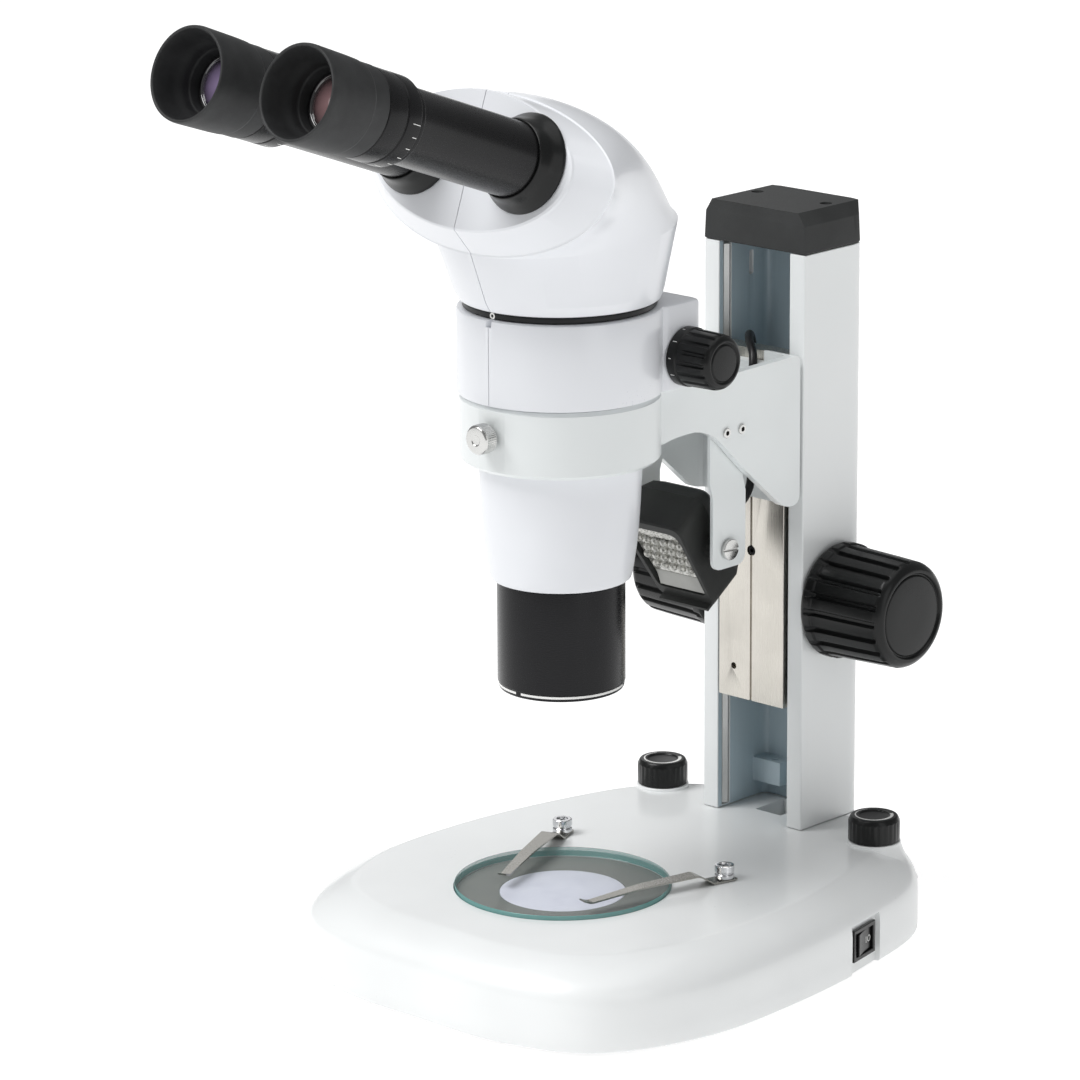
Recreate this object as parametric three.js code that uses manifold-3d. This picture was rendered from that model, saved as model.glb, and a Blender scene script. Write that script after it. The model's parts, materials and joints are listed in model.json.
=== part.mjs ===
// Stereo microscope on a rack-and-pinion track stand.
// Millimetres. +X is the user's right, +Y runs from the user towards the column, +Z is up.
// The optical axis of the objective is the line x = 0, y = axisY, and the feet stand on z = 0.

import * as THREE from 'three';
import { mergeVertices } from 'three/addons/utils/BufferGeometryUtils.js';
import Module from 'manifold-3d';

const wasm = await Module();
wasm.setup();

// ---- driving dimensions ----

const gap = 0.3;               // room left between pieces that touch
const axisY = 8.45;            // optical axis, measured from the middle of the whole outline

const footHeight = 3;
const baseTop = 42;            // top face of the base casting
const baseWall = 5;
const glassRadius = 50;
const glassThick = 4.5;
const glassProud = 2;          // how far the stage glass stands above the casting
const diffuserRadius = 29.1;

// Half outlines as [x, y] from the front middle to the back middle.
const footOutline = [[0, -97], [50, -95], [91, -77], [113, -28], [115, 30], [107, 96], [91, 147.5],
  [53, 178], [0, 183]];
const deckOutline = [[0, -79], [40, -77.5], [74, -62], [94, -26], [98, 28], [89, 90], [72, 138],
  [44, 163], [0, 168]];
// How far the skin has gone from the foot outline to the deck outline, as [height, share].
const skinLevels = [[3, 0], [22, 0], [26, 0.02], [29, 0.07], [32, 0.17], [35, 0.33], [38, 0.56],
  [40.3, 0.8], [42, 1]];
const footPlaces = { front_left: [-72, -58], front_right: [72, -58], rear_left: [-74, 138],
  rear_right: [74, 138] };
const dimmerX = 66.8;
const dimmerY = 144.3;
const dimmerRadius = 12.2;
const dimmerBossTop = 43.4;
const clipX = 51;
const clipY = 55;
const clipReach = 78;
const switchPlace = [107.2, 89, 16.4];
const switchTurn = THREE.MathUtils.degToRad(11.3);   // the side wall's direction at the switch
const switchSeat = -1.6;                             // flat pocket face, along the wall's normal
const rockerTilt = THREE.MathUtils.degToRad(8);

const columnWidth = 61.4;
const columnFront = 133.4;
const columnBack = 178.2;
const columnTop = 321.2;
const slotWidth = 43.4;        // mouth of the column's channel
const slotBack = 168.5;
const capHeight = 19.6;
const railY = 139.4;
const slideHalfWidth = 20;
const slideFront = 132.2;
const slideBack = 142.4;
const slideBottom = 101;
const slideTop = 273;
const gearModule = 1;
const pinionTeeth = 12;
const focusAxisY = 157.5;
const focusAxisZ = 152.2;

const ringOuter = 45.6;        // arm's clamp ring
const ringBore = 38.2;
const ringBottom = 246;
const ringTop = 276.6;
const armHalfWidth = 30;
const armWall = 4;
const armBack = 131.8;
const clampZ = 263.6;

const housingRadius = 46.6;
const housingBottom = 277;
const housingTop = 316.6;
const zoomAxisY = 39.5;
const zoomAxisZ = 292;

const objectiveRadius = 29.25;
const objectiveBottom = 138.4;
const objectiveTop = 189.4;

const headBottom = 320;
const tubeTilt = THREE.MathUtils.degToRad(20);   // eyepiece tubes rise this far above level
const tubeSpread = 33;                           // half the distance between the tubes
const hingeY = -57.2;                            // lower front crease, where the head's sections meet
const hingeZ = 348;
const faceStep = 14.5;                           // from that crease plane to the eyepiece face
const faceRise = 9.2;                            // lower edge of the face, along its own slope
const tubeRise = 42.4;                           // tube centre, along the same slope
const swingRadius = 19.7;
const swingAngle = THREE.MathUtils.degToRad(30.5);   // tube's place on its swing at rest
const swingRange = [-15, 24];
const collarBase = 0.4;
const tubeEnd = 89.6;
const diopterEnd = 111;
const eyepieceLength = 147.4;                    // face to eyecup rim

const lampPivotY = 84.2;
const lampPivotZ = 190.5;
const strapX = 24.8;                             // middle of the bracket's upper straps
const strapWidth = 23;
const strapThick = 1.6;
const strapTop = 262;
const strapBottom = 181.5;
const joggle = 1.7;
const lampLean = THREE.MathUtils.degToRad(-35);
const lampDepth = 29;
const lampHeight = 53;

// The lamp's lead: out of the housing's back, up through the hollow arm, over the slide's top and
// down behind it beside the rack.
const leadRadius = 2;
const leadRoute = [[10, 86.4, 192], [10, 95, 198], [10, 105, 201.6], [10, 114, 204.4], [9.5, 120.6, 212],
  [9, 121.5, 246], [9.2, 121.6, 262], [6, 126, 272], [-2, 132.5, 276.4], [-9, 140.8, 277.4],
  [-13, 147.4, 271.6], [-14, 149, 258], [-14, 149, 244]];

// ---- solids and small helpers ----

const material = (color, roughness, metalness = 0) =>
  new THREE.MeshStandardMaterial({ color, roughness, metalness });

const finishes = {
  whitePaint: material(0xeef0f2, 0.35),
  armPaint: material(0xdfe5e5, 0.4),
  blackPlastic: material(0x222323, 0.45),
  satinBlack: material(0x2b2b2c, 0.4, 0.2),
  capPlastic: material(0x4a4b4b, 0.6),
  rubber: material(0x1f2020, 0.8),
  steel: material(0xb9b6ae, 0.3, 0.9),
  chrome: material(0xd8dadc, 0.12, 1),
  seat: material(0x6c6a64, 0.6),
  glass: material(0xcfe6e4, 0.05),
  opal: material(0xd6d8e6, 0.5),
  lens: material(0x9b86a8, 0.05),
  board: material(0x2c5a3c, 0.5),
  brass: material(0xb59a55, 0.35, 0.9),
};

// A closed geometry as a boolean solid.
function toSolid(geometry) {
  const bare = geometry.clone();
  for (const name of Object.keys(bare.attributes)) if (name !== 'position') bare.deleteAttribute(name);
  const merged = mergeVertices(bare, 1e-4);
  const triangles = [];
  for (let i = 0; i < merged.index.count; i += 3) {
    const [a, b, c] = [0, 1, 2].map((k) => merged.index.getX(i + k));
    if (a !== b && b !== c && c !== a) triangles.push(a, b, c);
  }
  const vertProperties = new Float32Array(merged.attributes.position.array);
  return new wasm.Manifold(new wasm.Mesh({ numProp: 3, vertProperties,
    triVerts: new Uint32Array(triangles) }));
}

function toGeometry(solid) {
  const mesh = solid.getMesh();
  const geometry = new THREE.BufferGeometry();
  geometry.setAttribute('position', new THREE.BufferAttribute(new Float32Array(mesh.vertProperties), 3));
  geometry.setIndex(new THREE.BufferAttribute(new Uint32Array(mesh.triVerts), 1));
  return geometry;
}

const cut = (body, ...tools) =>
  toGeometry(tools.reduce((solid, tool) => solid.subtract(toSolid(tool)), toSolid(body)));
const join = (body, ...others) =>
  toGeometry(others.reduce((solid, other) => solid.add(toSolid(other)), toSolid(body)));
const keep = (body, tool) => toGeometry(toSolid(body).intersect(toSolid(tool)));

const moved = (geometry, x, y, z) => geometry.clone().translate(x, y, z);
const box = (x0, x1, y0, y1, z0, z1) =>
  new THREE.BoxGeometry(x1 - x0, y1 - y0, z1 - z0)
    .translate((x0 + x1) / 2, (y0 + y1) / 2, (z0 + z1) / 2);
const mirrorX = (geometry) => toGeometry(toSolid(geometry).mirror([1, 0, 0]));

// A turned piece about +Z. The profile is a list of [radius, height].
function turned(profile, segments = 18) {
  const points = profile.map(([r, z]) => new THREE.Vector2(r, z));
  return new THREE.LatheGeometry(points, segments).rotateX(Math.PI / 2);
}
const rod = (radius, z0, z1, segments = 16) =>
  turned([[0, z0], [radius, z0], [radius, z1], [0, z1]], segments);

// Axis helpers: take a piece made along +Z and lay it along another direction.
const alongX = (geometry) => geometry.clone().rotateY(Math.PI / 2);
const alongMinusY = (geometry) => geometry.clone().rotateX(Math.PI / 2);

// A flat outline with thickness, rising from z0 to z1.
const slab = (shape, z0, z1, curveSegments = 4) =>
  new THREE.ExtrudeGeometry(shape, { depth: z1 - z0, bevelEnabled: false,
  curveSegments }).translate(0, 0, z0);
// The same, for an outline drawn in the Y-Z plane and given thickness along X.
const sideSlab = (shape, x0, x1, curveSegments = 4) =>
  new THREE.ExtrudeGeometry(shape, { depth: x1 - x0, bevelEnabled: false, curveSegments })
    .applyMatrix4(new THREE.Matrix4().makeBasis(
      new THREE.Vector3(0, 1, 0), new THREE.Vector3(0, 0, 1), new THREE.Vector3(1, 0, 0)))
    .translate(x0, 0, 0);

// A polygon whose corners are rounded. Each corner is [x, y, radius].
function roundedShape(corners) {
  const shape = new THREE.Shape();
  const count = corners.length;
  corners.forEach(([x, y, radius = 0], i) => {
    const corner = new THREE.Vector2(x, y);
    const before = new THREE.Vector2(...corners[(i + count - 1) % count].slice(0, 2));
    const after = new THREE.Vector2(...corners[(i + 1) % count].slice(0, 2));
    const start = corner.clone().add(before.sub(corner).setLength(radius));
    const end = corner.clone().add(after.sub(corner).setLength(radius));
    if (i === 0) shape.moveTo(start.x, start.y);
    else shape.lineTo(start.x, start.y);
    if (radius > 0) shape.quadraticCurveTo(x, y, end.x, end.y);
  });
  shape.closePath();
  return shape;
}

// A skin through closed sections with equal numbers of points, closed by a fan at both ends.
function loft(sections) {
  const count = sections[0].length;
  const positions = [];
  const indices = [];
  sections.forEach((section) => section.forEach((p) => positions.push(p.x, p.y, p.z)));
  for (let s = 0; s + 1 < sections.length; s++) {
    for (let i = 0; i < count; i++) {
      const j = (i + 1) % count;
      const [a, b, c, d] = [s * count + i, s * count + j, (s + 1) * count + j, (s + 1) * count + i];
      indices.push(a, b, c, a, c, d);
    }
  }
  for (const s of [0, sections.length - 1]) {
    const middle = sections[s].reduce((sum, p) => sum.add(p), new THREE.Vector3()).divideScalar(count);
    const hub = positions.length / 3;
    positions.push(middle.x, middle.y, middle.z);
    for (let i = 0; i < count; i++) {
      const j = (i + 1) % count;
      if (s === 0) indices.push(hub, s * count + j, s * count + i);
      else indices.push(hub, s * count + i, s * count + j);
    }
  }
  const geometry = new THREE.BufferGeometry();
  geometry.setAttribute('position', new THREE.Float32BufferAttribute(positions, 3));
  geometry.setIndex(indices);
  if (signedVolume(geometry) < 0) {
    const index = geometry.index;
    for (let i = 0; i < index.count; i += 3) {
      const b = index.getX(i + 1);
      index.setX(i + 1, index.getX(i + 2));
      index.setX(i + 2, b);
    }
  }
  return geometry;
}

function signedVolume(geometry) {
  const p = geometry.attributes.position;
  const corner = (i) => new THREE.Vector3().fromBufferAttribute(p, geometry.index.getX(i));
  let volume = 0;
  for (let i = 0; i < geometry.index.count; i += 3) {
    volume += corner(i).dot(corner(i + 1).cross(corner(i + 2))) / 6;
  }
  return volume;
}

// One section of a fluted grip: flat crests with a groove between each pair.
function flutedSection(radius, depth, flutes, z) {
  const section = [];
  for (let i = 0; i < flutes; i++) {
    for (const [share, r] of [[0.16, radius], [0.62, radius], [0.89, radius - depth]]) {
      const angle = (i + share) / flutes * 2 * Math.PI;
      section.push(new THREE.Vector3(r * Math.cos(angle), r * Math.sin(angle), z));
    }
  }
  return section;
}

const scope = new THREE.Group();     // everything, measured from the optical axis
scope.position.y = axisY;

function add(name, geometry, finish, parent = scope) {
  const mesh = new THREE.Mesh(geometry, finishes[finish]);
  mesh.name = name;
  parent.add(mesh);
  return mesh;
}

const sides = [['left', -1], ['right', 1]];

// ---- base: a hollow casting with a bevelled shoulder, closed below by a plate on four feet ----

// A closed smooth outline through both halves, sampled evenly between its points and shrunk by an inset.
function outline(half, z, inset = 0) {
  const other = half.slice(1, -1).reverse().map(([x, y]) => [-x, y]);
  const points = [...half, ...other].map(([x, y]) => new THREE.Vector3(x, y, 0));
  const curve = new THREE.CatmullRomCurve3(points, true, 'centripetal');
  const samples = 30;
  return Array.from({ length: samples }, (_, i) => {
    const t = i / samples;
    const tangent = curve.getTangent(t);
    const point = curve.getPoint(t);
    return new THREE.Vector3(point.x - tangent.y * inset, point.y + tangent.x * inset, z);
  });
}

const skinSection = ([z, share]) => {
  const deck = outline(deckOutline, z);
  return outline(footOutline, z).map((point, i) => point.lerp(deck[i], share));
};

const toSwitch = (geometry) => geometry.clone().rotateZ(switchTurn).translate(...switchPlace);

function baseCasting() {
  const wellOuter = 52;
  const wellInner = 46;
  const ceiling = baseTop - baseWall;
  const glassSeat = baseTop + glassProud - glassThick - gap - 2 - gap;
  const outer = loft(skinLevels.map(skinSection));
  const cavity = loft([
    outline(footOutline, footHeight - 1, baseWall), outline(footOutline, 19, baseWall + 1),
    outline(deckOutline, ceiling, 3),
  ]);
  const well = cut(rod(wellOuter, 10, baseTop - 1, 24), rod(wellInner, 9, baseTop, 24));
  const bosses = sides.map(([, side]) => dimmerBoss(side));
  const columnSeat = slab(roundedShape(outerColumn()), 22, baseTop);
  const switchBlock = keep(toSwitch(box(-14, 8, -15, 15, -11.4, 10.6)), outer);
  const body = join(cut(outer, cavity), well, columnSeat, switchBlock, ...bosses);
  const cableHole = box(-8, 8, columnFront + 12, slotBack - 2, footHeight, baseTop + 1);
  return cut(body,
    rod(wellInner, footHeight, baseTop + 5, 24),
    rod(glassRadius + 0.5, glassSeat, baseTop + 5, 36),
    toSwitch(box(switchSeat, 8, -13, 13, -14.4, 10.6)),
    toSwitch(box(-20, 8, -9.3, 9.3, -6.8, 6.8)),
    box(-26.4, -11.6, 160, 195, 8.8, 21.2),
    ...sides.map(([, side]) => moved(rod(3.2, 12, 60, 10), side * dimmerX, dimmerY, 0)),
    ...sides.map(([, side]) => moved(rod(1.7, 20, 60, 8), side * clipX, clipY, 0)),
    cableHole);
}

// A round boss that rises out of the bevel and carries a dimmer knob.
function dimmerBoss(side) {
  const boss = turned([[0, 25], [19, 25], [14.4, 35], [12.9, 41], [12.4, dimmerBossTop],
    [0, dimmerBossTop]], 18);
  return moved(boss, side * dimmerX, dimmerY, 0);
}

function bottomPlate() {
  const inset = baseWall + 0.5;
  return loft([outline(footOutline, footHeight, inset), outline(footOutline, footHeight + 1.5, inset)]);
}

function foot() {
  return turned([[0, 0], [8.4, 0], [9, 0.6], [9, footHeight - gap], [0, footHeight - gap]], 14);
}

function addBase() {
  add('base_casting', baseCasting(), 'whitePaint');
  add('bottom_plate', bottomPlate(), 'steel');
  for (const [place, [x, y]] of Object.entries(footPlaces)) add(`foot_${place}`,
    foot(), 'rubber').position.set(x, y, 0);
}

// ---- transmitted-light stage: glass, its annular seat, an opal diffuser and the LED board ----

function ledBoard() {
  const leds = 6;
  const board = rod(44, 14, 15.6, 18);
  const lamps = Array.from({ length: leds }, (_, i) => {
    const angle = i / leds * 2 * Math.PI;
    return moved(rod(2.5, 15.4, 17.6, 6), 26 * Math.cos(angle), 26 * Math.sin(angle), 0);
  });
  return join(board, ...lamps);
}

function addStage() {
  const glassTop = baseTop + glassProud;
  const seatTop = glassTop - glassThick - gap;
  const bevel = 0.5;
  add('stage_glass', turned([[0, glassTop - glassThick], [glassRadius - bevel, glassTop - glassThick],
    [glassRadius, glassTop - glassThick + bevel], [glassRadius, glassTop - bevel],
    [glassRadius - bevel, glassTop], [0, glassTop]], 36), 'glass');
  add('stage_seat', cut(rod(glassRadius, seatTop - 2, seatTop, 30),
    rod(diffuserRadius + gap, 0, 60, 24)), 'seat');
  add('diffuser', rod(diffuserRadius, seatTop - 2, seatTop, 24), 'opal');
  add('led_board', ledBoard(), 'board');
}

// ---- stage clips: bent spring blades under knurled screws ----

function clipBlade() {
  const width = 8.4;
  const thick = 0.8;
  const rise = 5;
  const rest = glassProud + gap;
  const path = roundedShape([[-5, 0], [8, 0], [16, rise, 2], [46, rise - 0.4, 4],
    [clipReach - 4, rest, 1.5],
    [clipReach, rest + 1.6], [clipReach, rest + 1.6 + thick], [clipReach - 4, rest + thick, 1.5],
    [46, rise - 0.4 + thick, 4], [16, rise + thick, 2], [8, thick], [-5, thick]]);
  const strip = sideSlab(path, -width / 2, width / 2, 4).rotateZ(-Math.PI / 2);
  const plan = roundedShape([[-6, -4.2, 3], [14, -4.2, 2], [clipReach + 1, -2.2, 1.5],
    [clipReach + 1, 2.2, 1.5], [14, 4.2, 2], [-6, 4.2, 3]]);
  return cut(keep(strip, slab(plan, -1, 8, 4)), rod(2, -1, 5, 16));
}

function clipScrew() {
  const radius = 4.6;
  const height = 7.4;
  const notch = 1.1;
  const head = turned([[0, -12], [1.3, -12], [1.3, 1.2], [radius, 1.2], [radius, 2.8],
    [radius - 0.6, 3.5], [radius, 4.2], [radius, height], [0, height]], 16);
  const notches = Array.from({ length: 3 }, (_, i) =>
    box(-radius - 1, radius + 1, -notch / 2, notch / 2, height - 1.6,
    height + 1).rotateZ(i / 3 * Math.PI));
  return cut(head, ...notches);
}

function addClips() {
  const restAngle = { left: -68.2, right: -105.1 };
  for (const [name, side] of sides) {
    const turn = THREE.MathUtils.degToRad(restAngle[name]);
    const blade = add(`stage_clip_${name}`, clipBlade(), 'steel');
    blade.position.set(side * clipX, clipY, baseTop + gap);
    blade.rotation.z = turn;
    add(`clip_screw_${name}`, clipScrew(), 'chrome').position.set(side * clipX, clipY, baseTop + gap);
  }
}

// ---- controls on the base: two dimmers, a rocker switch and the power inlet ----

function dimmerKnob() {
  const flutes = 14;
  const radius = dimmerRadius;
  const height = 12;
  return loft([
    flutedSection(radius, 0.9, flutes, 0), flutedSection(radius, 0.9, flutes, height - 2.6),
    flutedSection(radius - 0.3, 0.2, flutes, height - 0.8), flutedSection(radius - 1.3, 0, flutes,
    height),
  ]);
}

function addControls() {
  for (const [name, side] of sides) {
    const spindle = rod(2.6, -18, 1, 8);
    const knob = add(`dimmer_knob_${name}`, join(dimmerKnob(), spindle), 'blackPlastic');
    knob.position.set(side * dimmerX, dimmerY, dimmerBossTop + gap);
  }
  const well = box(-7, 2, -8.1, 8.1, -5.6, 5.6);
  const sleeve = box(-12.5, -1, -9, 9, -6.5, 6.5);
  const bezel = box(switchSeat + gap, 0.3, -10.15, 10.15, -7.75, 7.75);
  add('switch_frame', toSwitch(cut(join(sleeve, bezel), well)), 'blackPlastic');
  const pivot = new THREE.Vector3(switchSeat - 0.8, 0, 0).applyAxisAngle(new THREE.Vector3(0, 0, 1),
    switchTurn);
  const rocker = add('switch_rocker', rockerPaddle(), 'blackPlastic');
  rocker.position.set(...switchPlace).add(pivot);
  rocker.rotation.z = switchTurn + rockerTilt;
  add('power_inlet', powerInlet(), 'blackPlastic');
}

// The paddle lies along the wall and rocks about the upright axis.
function rockerPaddle() {
  const half = 5.2;
  return slab(roundedShape([[-2.6, -6.8], [2.6, -7.4, 0.6], [2, 0, 3], [2.6, 7.4, 0.6],
    [-2.6, 6.8]]), -half, half);
}

// A round barrel socket in a square bezel on the rear wall.
function powerInlet() {
  const z = 15;
  const x = -19;
  const rear = 183;
  const body = join(box(x - 6.8, x + 6.8, 162, rear + 1, 9.2, 20.8), box(x - 9, x + 9, rear + gap,
    rear + 2.2, 7, 23));
  const socket = rod(3.2, 0, 12, 12).rotateX(-Math.PI / 2).translate(x, rear - 8, z);
  const pin = rod(0.9, 0, 9, 6).rotateX(-Math.PI / 2).translate(x, rear - 8.5, z);
  return join(cut(body, socket), pin);
}

// ---- column: extruded channel, open to the front, with guide rails and a cap ----

const outerColumn = (inset = 0) => {
  const w = columnWidth / 2 - inset;
  const back = columnBack - inset;
  return [[-w, columnFront + inset, 0.8], [w, columnFront + inset, 0.8], [w, back, 9], [-w, back, 9]];
};

function columnBody() {
  const m = slotWidth / 2;
  const foot = baseTop + gap;
  const channel = roundedShape([[-m, columnFront - 1], [m, columnFront - 1], [m, slotBack, 3],
    [-m, slotBack, 3]]);
  const rails = sides.map(([, side]) => box(side * m - 3, side * m + 3, railY - 2.6, railY + 2.6,
    foot + 1, columnTop + 1));
  const shaftHole = alongX(rod(8, -40, 40, 16)).translate(0, focusAxisY, focusAxisZ);
  const profile = slab(roundedShape(outerColumn()), foot, columnTop);
  const lockSlot = box(-m - 2.2, -m + 1, 155.4, 157.8, 302, 313);
  const lug = join(box(-m - 1, -m + 17, slotBack - 9, slotBack + 1, foot + 8, foot + 20));
  return join(cut(profile, slab(channel, foot - 1, columnTop + 1), ...rails, shaftHole, lockSlot),
    cut(lug, moved(rod(1.6, 55, 75, 10), -m + 11, slotBack - 5, 0)));
}

// Hardened strip with a V edge that the slide runs on.
function guideRail() {
  const half = 2.2;
  const shape = roundedShape([[0, -half], [2.2, -half], [3.9, 0], [2.2, half], [0, half]]);
  return slab(shape, baseTop + 2, columnTop - 2);
}

function columnCap() {
  const bottom = columnTop + gap;
  const top = columnTop + capHeight;
  const section = (inset, z) => {
    const points = roundedShape(outerColumn(inset)).getPoints(3);
    return points.slice(0, -1).map((p) => new THREE.Vector3(p.x, p.y, z));
  };
  const crest = section(0.2, top).map((p) => p.setX(THREE.MathUtils.clamp(p.x, -26.4, 26.4)));
  const hood = loft([section(0.3, bottom), section(-0.2, bottom + 0.6), section(0.2, top - 6), crest]);
  return cut(hood, ...sides.map(([, side]) => moved(rod(3, top - 3.5, top + 2, 14), side * 21, 160, 0)));
}

function addColumn() {
  add('column', columnBody(), 'armPaint');
  add('column_cap', columnCap(), 'capPlastic');
  const railX = slotWidth / 2 + 2.6;
  const left = moved(guideRail(), -railX, railY, 0);
  add('guide_rail_left', left, 'steel');
  add('guide_rail_right', mirrorX(left), 'steel');
}

// ---- focus drive: slide, rack, pinion and the two big knobs ----

function slidePlate() {
  const v = 1.9;
  const half = slideHalfWidth;
  const shape = roundedShape([[-half, slideFront, 0.4], [-0.6, slideFront], [-0.6, slideFront + 1.2],
    [0.6, slideFront + 1.2],
    [0.6, slideFront], [half, slideFront, 0.4], [half, railY - v - 0.6], [half - v, railY],
    [half, railY + v + 0.6],
    [half, slideBack, 0.4], [-half, slideBack, 0.4], [-half, railY + v + 0.6], [-half + v, railY],
    [-half, railY - v - 0.6]]);
  const holes = [[0, 175, 2.5], [-10.7, 116.3, 1.6]].map(([x, z, r]) =>
    alongMinusY(rod(r, -(slideFront + 5), -(slideFront - 2), 16)).translate(x, 0, z));
  return cut(slab(shape, slideBottom, slideTop), ...holes);
}

// Straight rack whose teeth point back at the pinion.
function focusRack() {
  const pitchLine = focusAxisY - gearModule * pinionTeeth / 2;
  const pitch = Math.PI * gearModule;
  const rootY = pitchLine - 1.25 * gearModule;
  const tipY = pitchLine + 0.92 * gearModule;
  const shape = new THREE.Shape();
  const bottom = slideBottom + 1;
  const top = 216;
  shape.moveTo(slideBack + gap, bottom);
  shape.lineTo(rootY, bottom);
  const first = Math.ceil((bottom + pitch - focusAxisZ) / pitch);
  const last = Math.floor((top - pitch - focusAxisZ) / pitch);
  for (let k = first; k <= last; k++) {
    const z = focusAxisZ + (k + 0.5) * pitch;
    shape.lineTo(rootY, z - 0.38 * pitch);
    shape.lineTo(tipY, z - 0.12 * pitch);
    shape.lineTo(tipY, z + 0.12 * pitch);
    shape.lineTo(rootY, z + 0.38 * pitch);
  }
  shape.lineTo(rootY, top);
  shape.lineTo(slideBack + gap, top);
  return sideSlab(shape, -5, 5);
}

function pinionShaft() {
  const pitchRadius = gearModule * pinionTeeth / 2;
  const rootRadius = pitchRadius - 1.25 * gearModule;
  const tipRadius = pitchRadius + 0.92 * gearModule;
  const shape = new THREE.Shape();
  for (let k = 0; k < pinionTeeth; k++) {
    for (const [share, r] of [[-0.34, rootRadius], [-0.11, tipRadius], [0.11, tipRadius],
      [0.34, rootRadius]]) {
      const angle = (k + share) / pinionTeeth * 2 * Math.PI;
      if (k === 0 && share < -0.3) shape.moveTo(r * Math.cos(angle), r * Math.sin(angle));
      else shape.lineTo(r * Math.cos(angle), r * Math.sin(angle));
    }
  }
  shape.closePath();
  const shaft = turned([[0, -58], [3.4, -58], [3.4, -30.8], [6.6, -30], [6.6, -8], [4.4, -7], [4.4, 7],
    [6.6, 8], [6.6, 30], [3.4, 30.8],
    [3.4, 58], [0, 58]], 12);
  return alongX(join(shaft, slab(shape, -6.5, 6.5).rotateZ(Math.PI / 2)));
}

function focusKnob() {
  const flutes = 20;
  const bore = 3.7;
  const grip = [[0, 27, 0], [6.2, 27.7, 0], [7, 27, 1.7], [43, 25.3, 1.7], [46.6, 22.8, 0],
    [44.6, 14, 0]];
  const body = loft(grip.map(([z, r, depth]) => flutedSection(r, depth, flutes, z)));
  return cut(body, rod(bore, -1, 30, 12));
}

function addFocusDrive() {
  add('slide_plate', slidePlate(), 'steel');
  add('focus_rack', focusRack(), 'brass');
  add('pinion_shaft', pinionShaft(), 'steel').position.set(0, focusAxisY, focusAxisZ);
  const inner = columnWidth / 2 + 0.8;
  for (const [name, side] of sides) {
    const knob = add(`focus_knob_${name}`, focusKnob(), 'blackPlastic');
    knob.position.set(side * inner, focusAxisY, focusAxisZ);
    knob.rotation.y = side * Math.PI / 2;
  }
}

// ---- arm: clamp ring, arched side plates and a back plate, hollow and open above ----

function armBody() {
  const w = armHalfWidth;
  const side = roundedShape([[0, ringBottom, 0], [22, ringBottom, 14], [42, 252.6, 18], [68, 250.5, 12],
    [92, 227.5, 6],
    [121, 203.2, 5], [armBack, 203.2, 5], [armBack, 274.8, 4], [60, 273.6, 10], [36, ringTop, 10],
    [0, ringTop, 0]]);
  const block = sideSlab(side, -w, w, 4);
  const ring = turned([[0, ringBottom], [ringOuter - 1.6, ringBottom], [ringOuter, ringBottom + 1.6],
    [ringOuter, ringTop - 1.6], [ringOuter - 1.6, ringTop], [0, ringTop]], 36);
  const hollow = roundedShape([[-w + armWall, 41, 0], [w - armWall, 41, 0],
    [w - armWall, armBack - 5, 4], [-w + armWall, armBack - 5, 4]]);
  const neckWall = rod(ringOuter - 0.6, ringBottom - 10, ringTop + 10, 36);
  const inside = cut(slab(hollow, 190, 290, 4), neckWall);
  const notch = box(-9, 12, armBack - 6, armBack + 1, 268.5, 290);
  return cut(join(block, ring), inside, rod(ringBore, ringBottom - 5, ringTop + 5, 32),
    alongMinusY(rod(3.3, ringBore - 4, ringOuter + 4, 10)).translate(0, 0, clampZ), notch);
}

function clampScrew() {
  const r = 6.8;
  const profile = [[0, ringBore + 1.4], [2.9, ringBore + 1.4], [2.9, ringOuter + 1],
    [4.6, ringOuter + 1], [4.6, ringOuter + 2.6],
    [r - 0.5, ringOuter + 2.6], [r, ringOuter + 3.1], [r, ringOuter + 8.6], [r - 0.9, ringOuter + 9.6],
    [0, ringOuter + 9.8]];
  return alongMinusY(turned(profile, 18));
}

function addArm() {
  add('arm', armBody(), 'armPaint');
  add('clamp_screw', clampScrew(), 'steel').position.z = clampZ;
}

// ---- oblique lamp: bracket, tilting housing, lens plate, pivots and its lead ----

function lampBracket() {
  const y0 = lampPivotY - strapWidth / 2 + 0.6;
  const y1 = y0 + strapWidth;
  const mid = strapX;
  const out = strapX + joggle;
  const half = strapThick / 2;
  const profile = roundedShape([[mid - half, strapTop], [mid - half, 223], [out - half, 217],
    [out - half, strapBottom],
    [out + half, strapBottom], [out + half, 216.6], [mid + half, 222.6], [mid + half, strapTop]]);
  const strap = new THREE.ExtrudeGeometry(profile, { depth: y1 - y0,
    bevelEnabled: false }).rotateX(Math.PI / 2).translate(0, y1, 0);
  const face = roundedShape([[y0, strapBottom, 6], [y1, strapBottom, 6], [y1, strapTop + 1],
    [y0, strapTop + 1]]);
  const right = keep(strap, sideSlab(face, 10, 40, 5));
  const bridge = box(-mid - half, mid + half, y0, y1, strapTop - strapThick, strapTop);
  const pivot = alongX(rod(2.3, -40, 40, 10)).translate(0, lampPivotY, lampPivotZ);
  return cut(join(right, mirrorX(right), bridge), pivot);
}

// The housing is drawn upright in its own frame: window to the front (-Y), then leaned forward.

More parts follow.
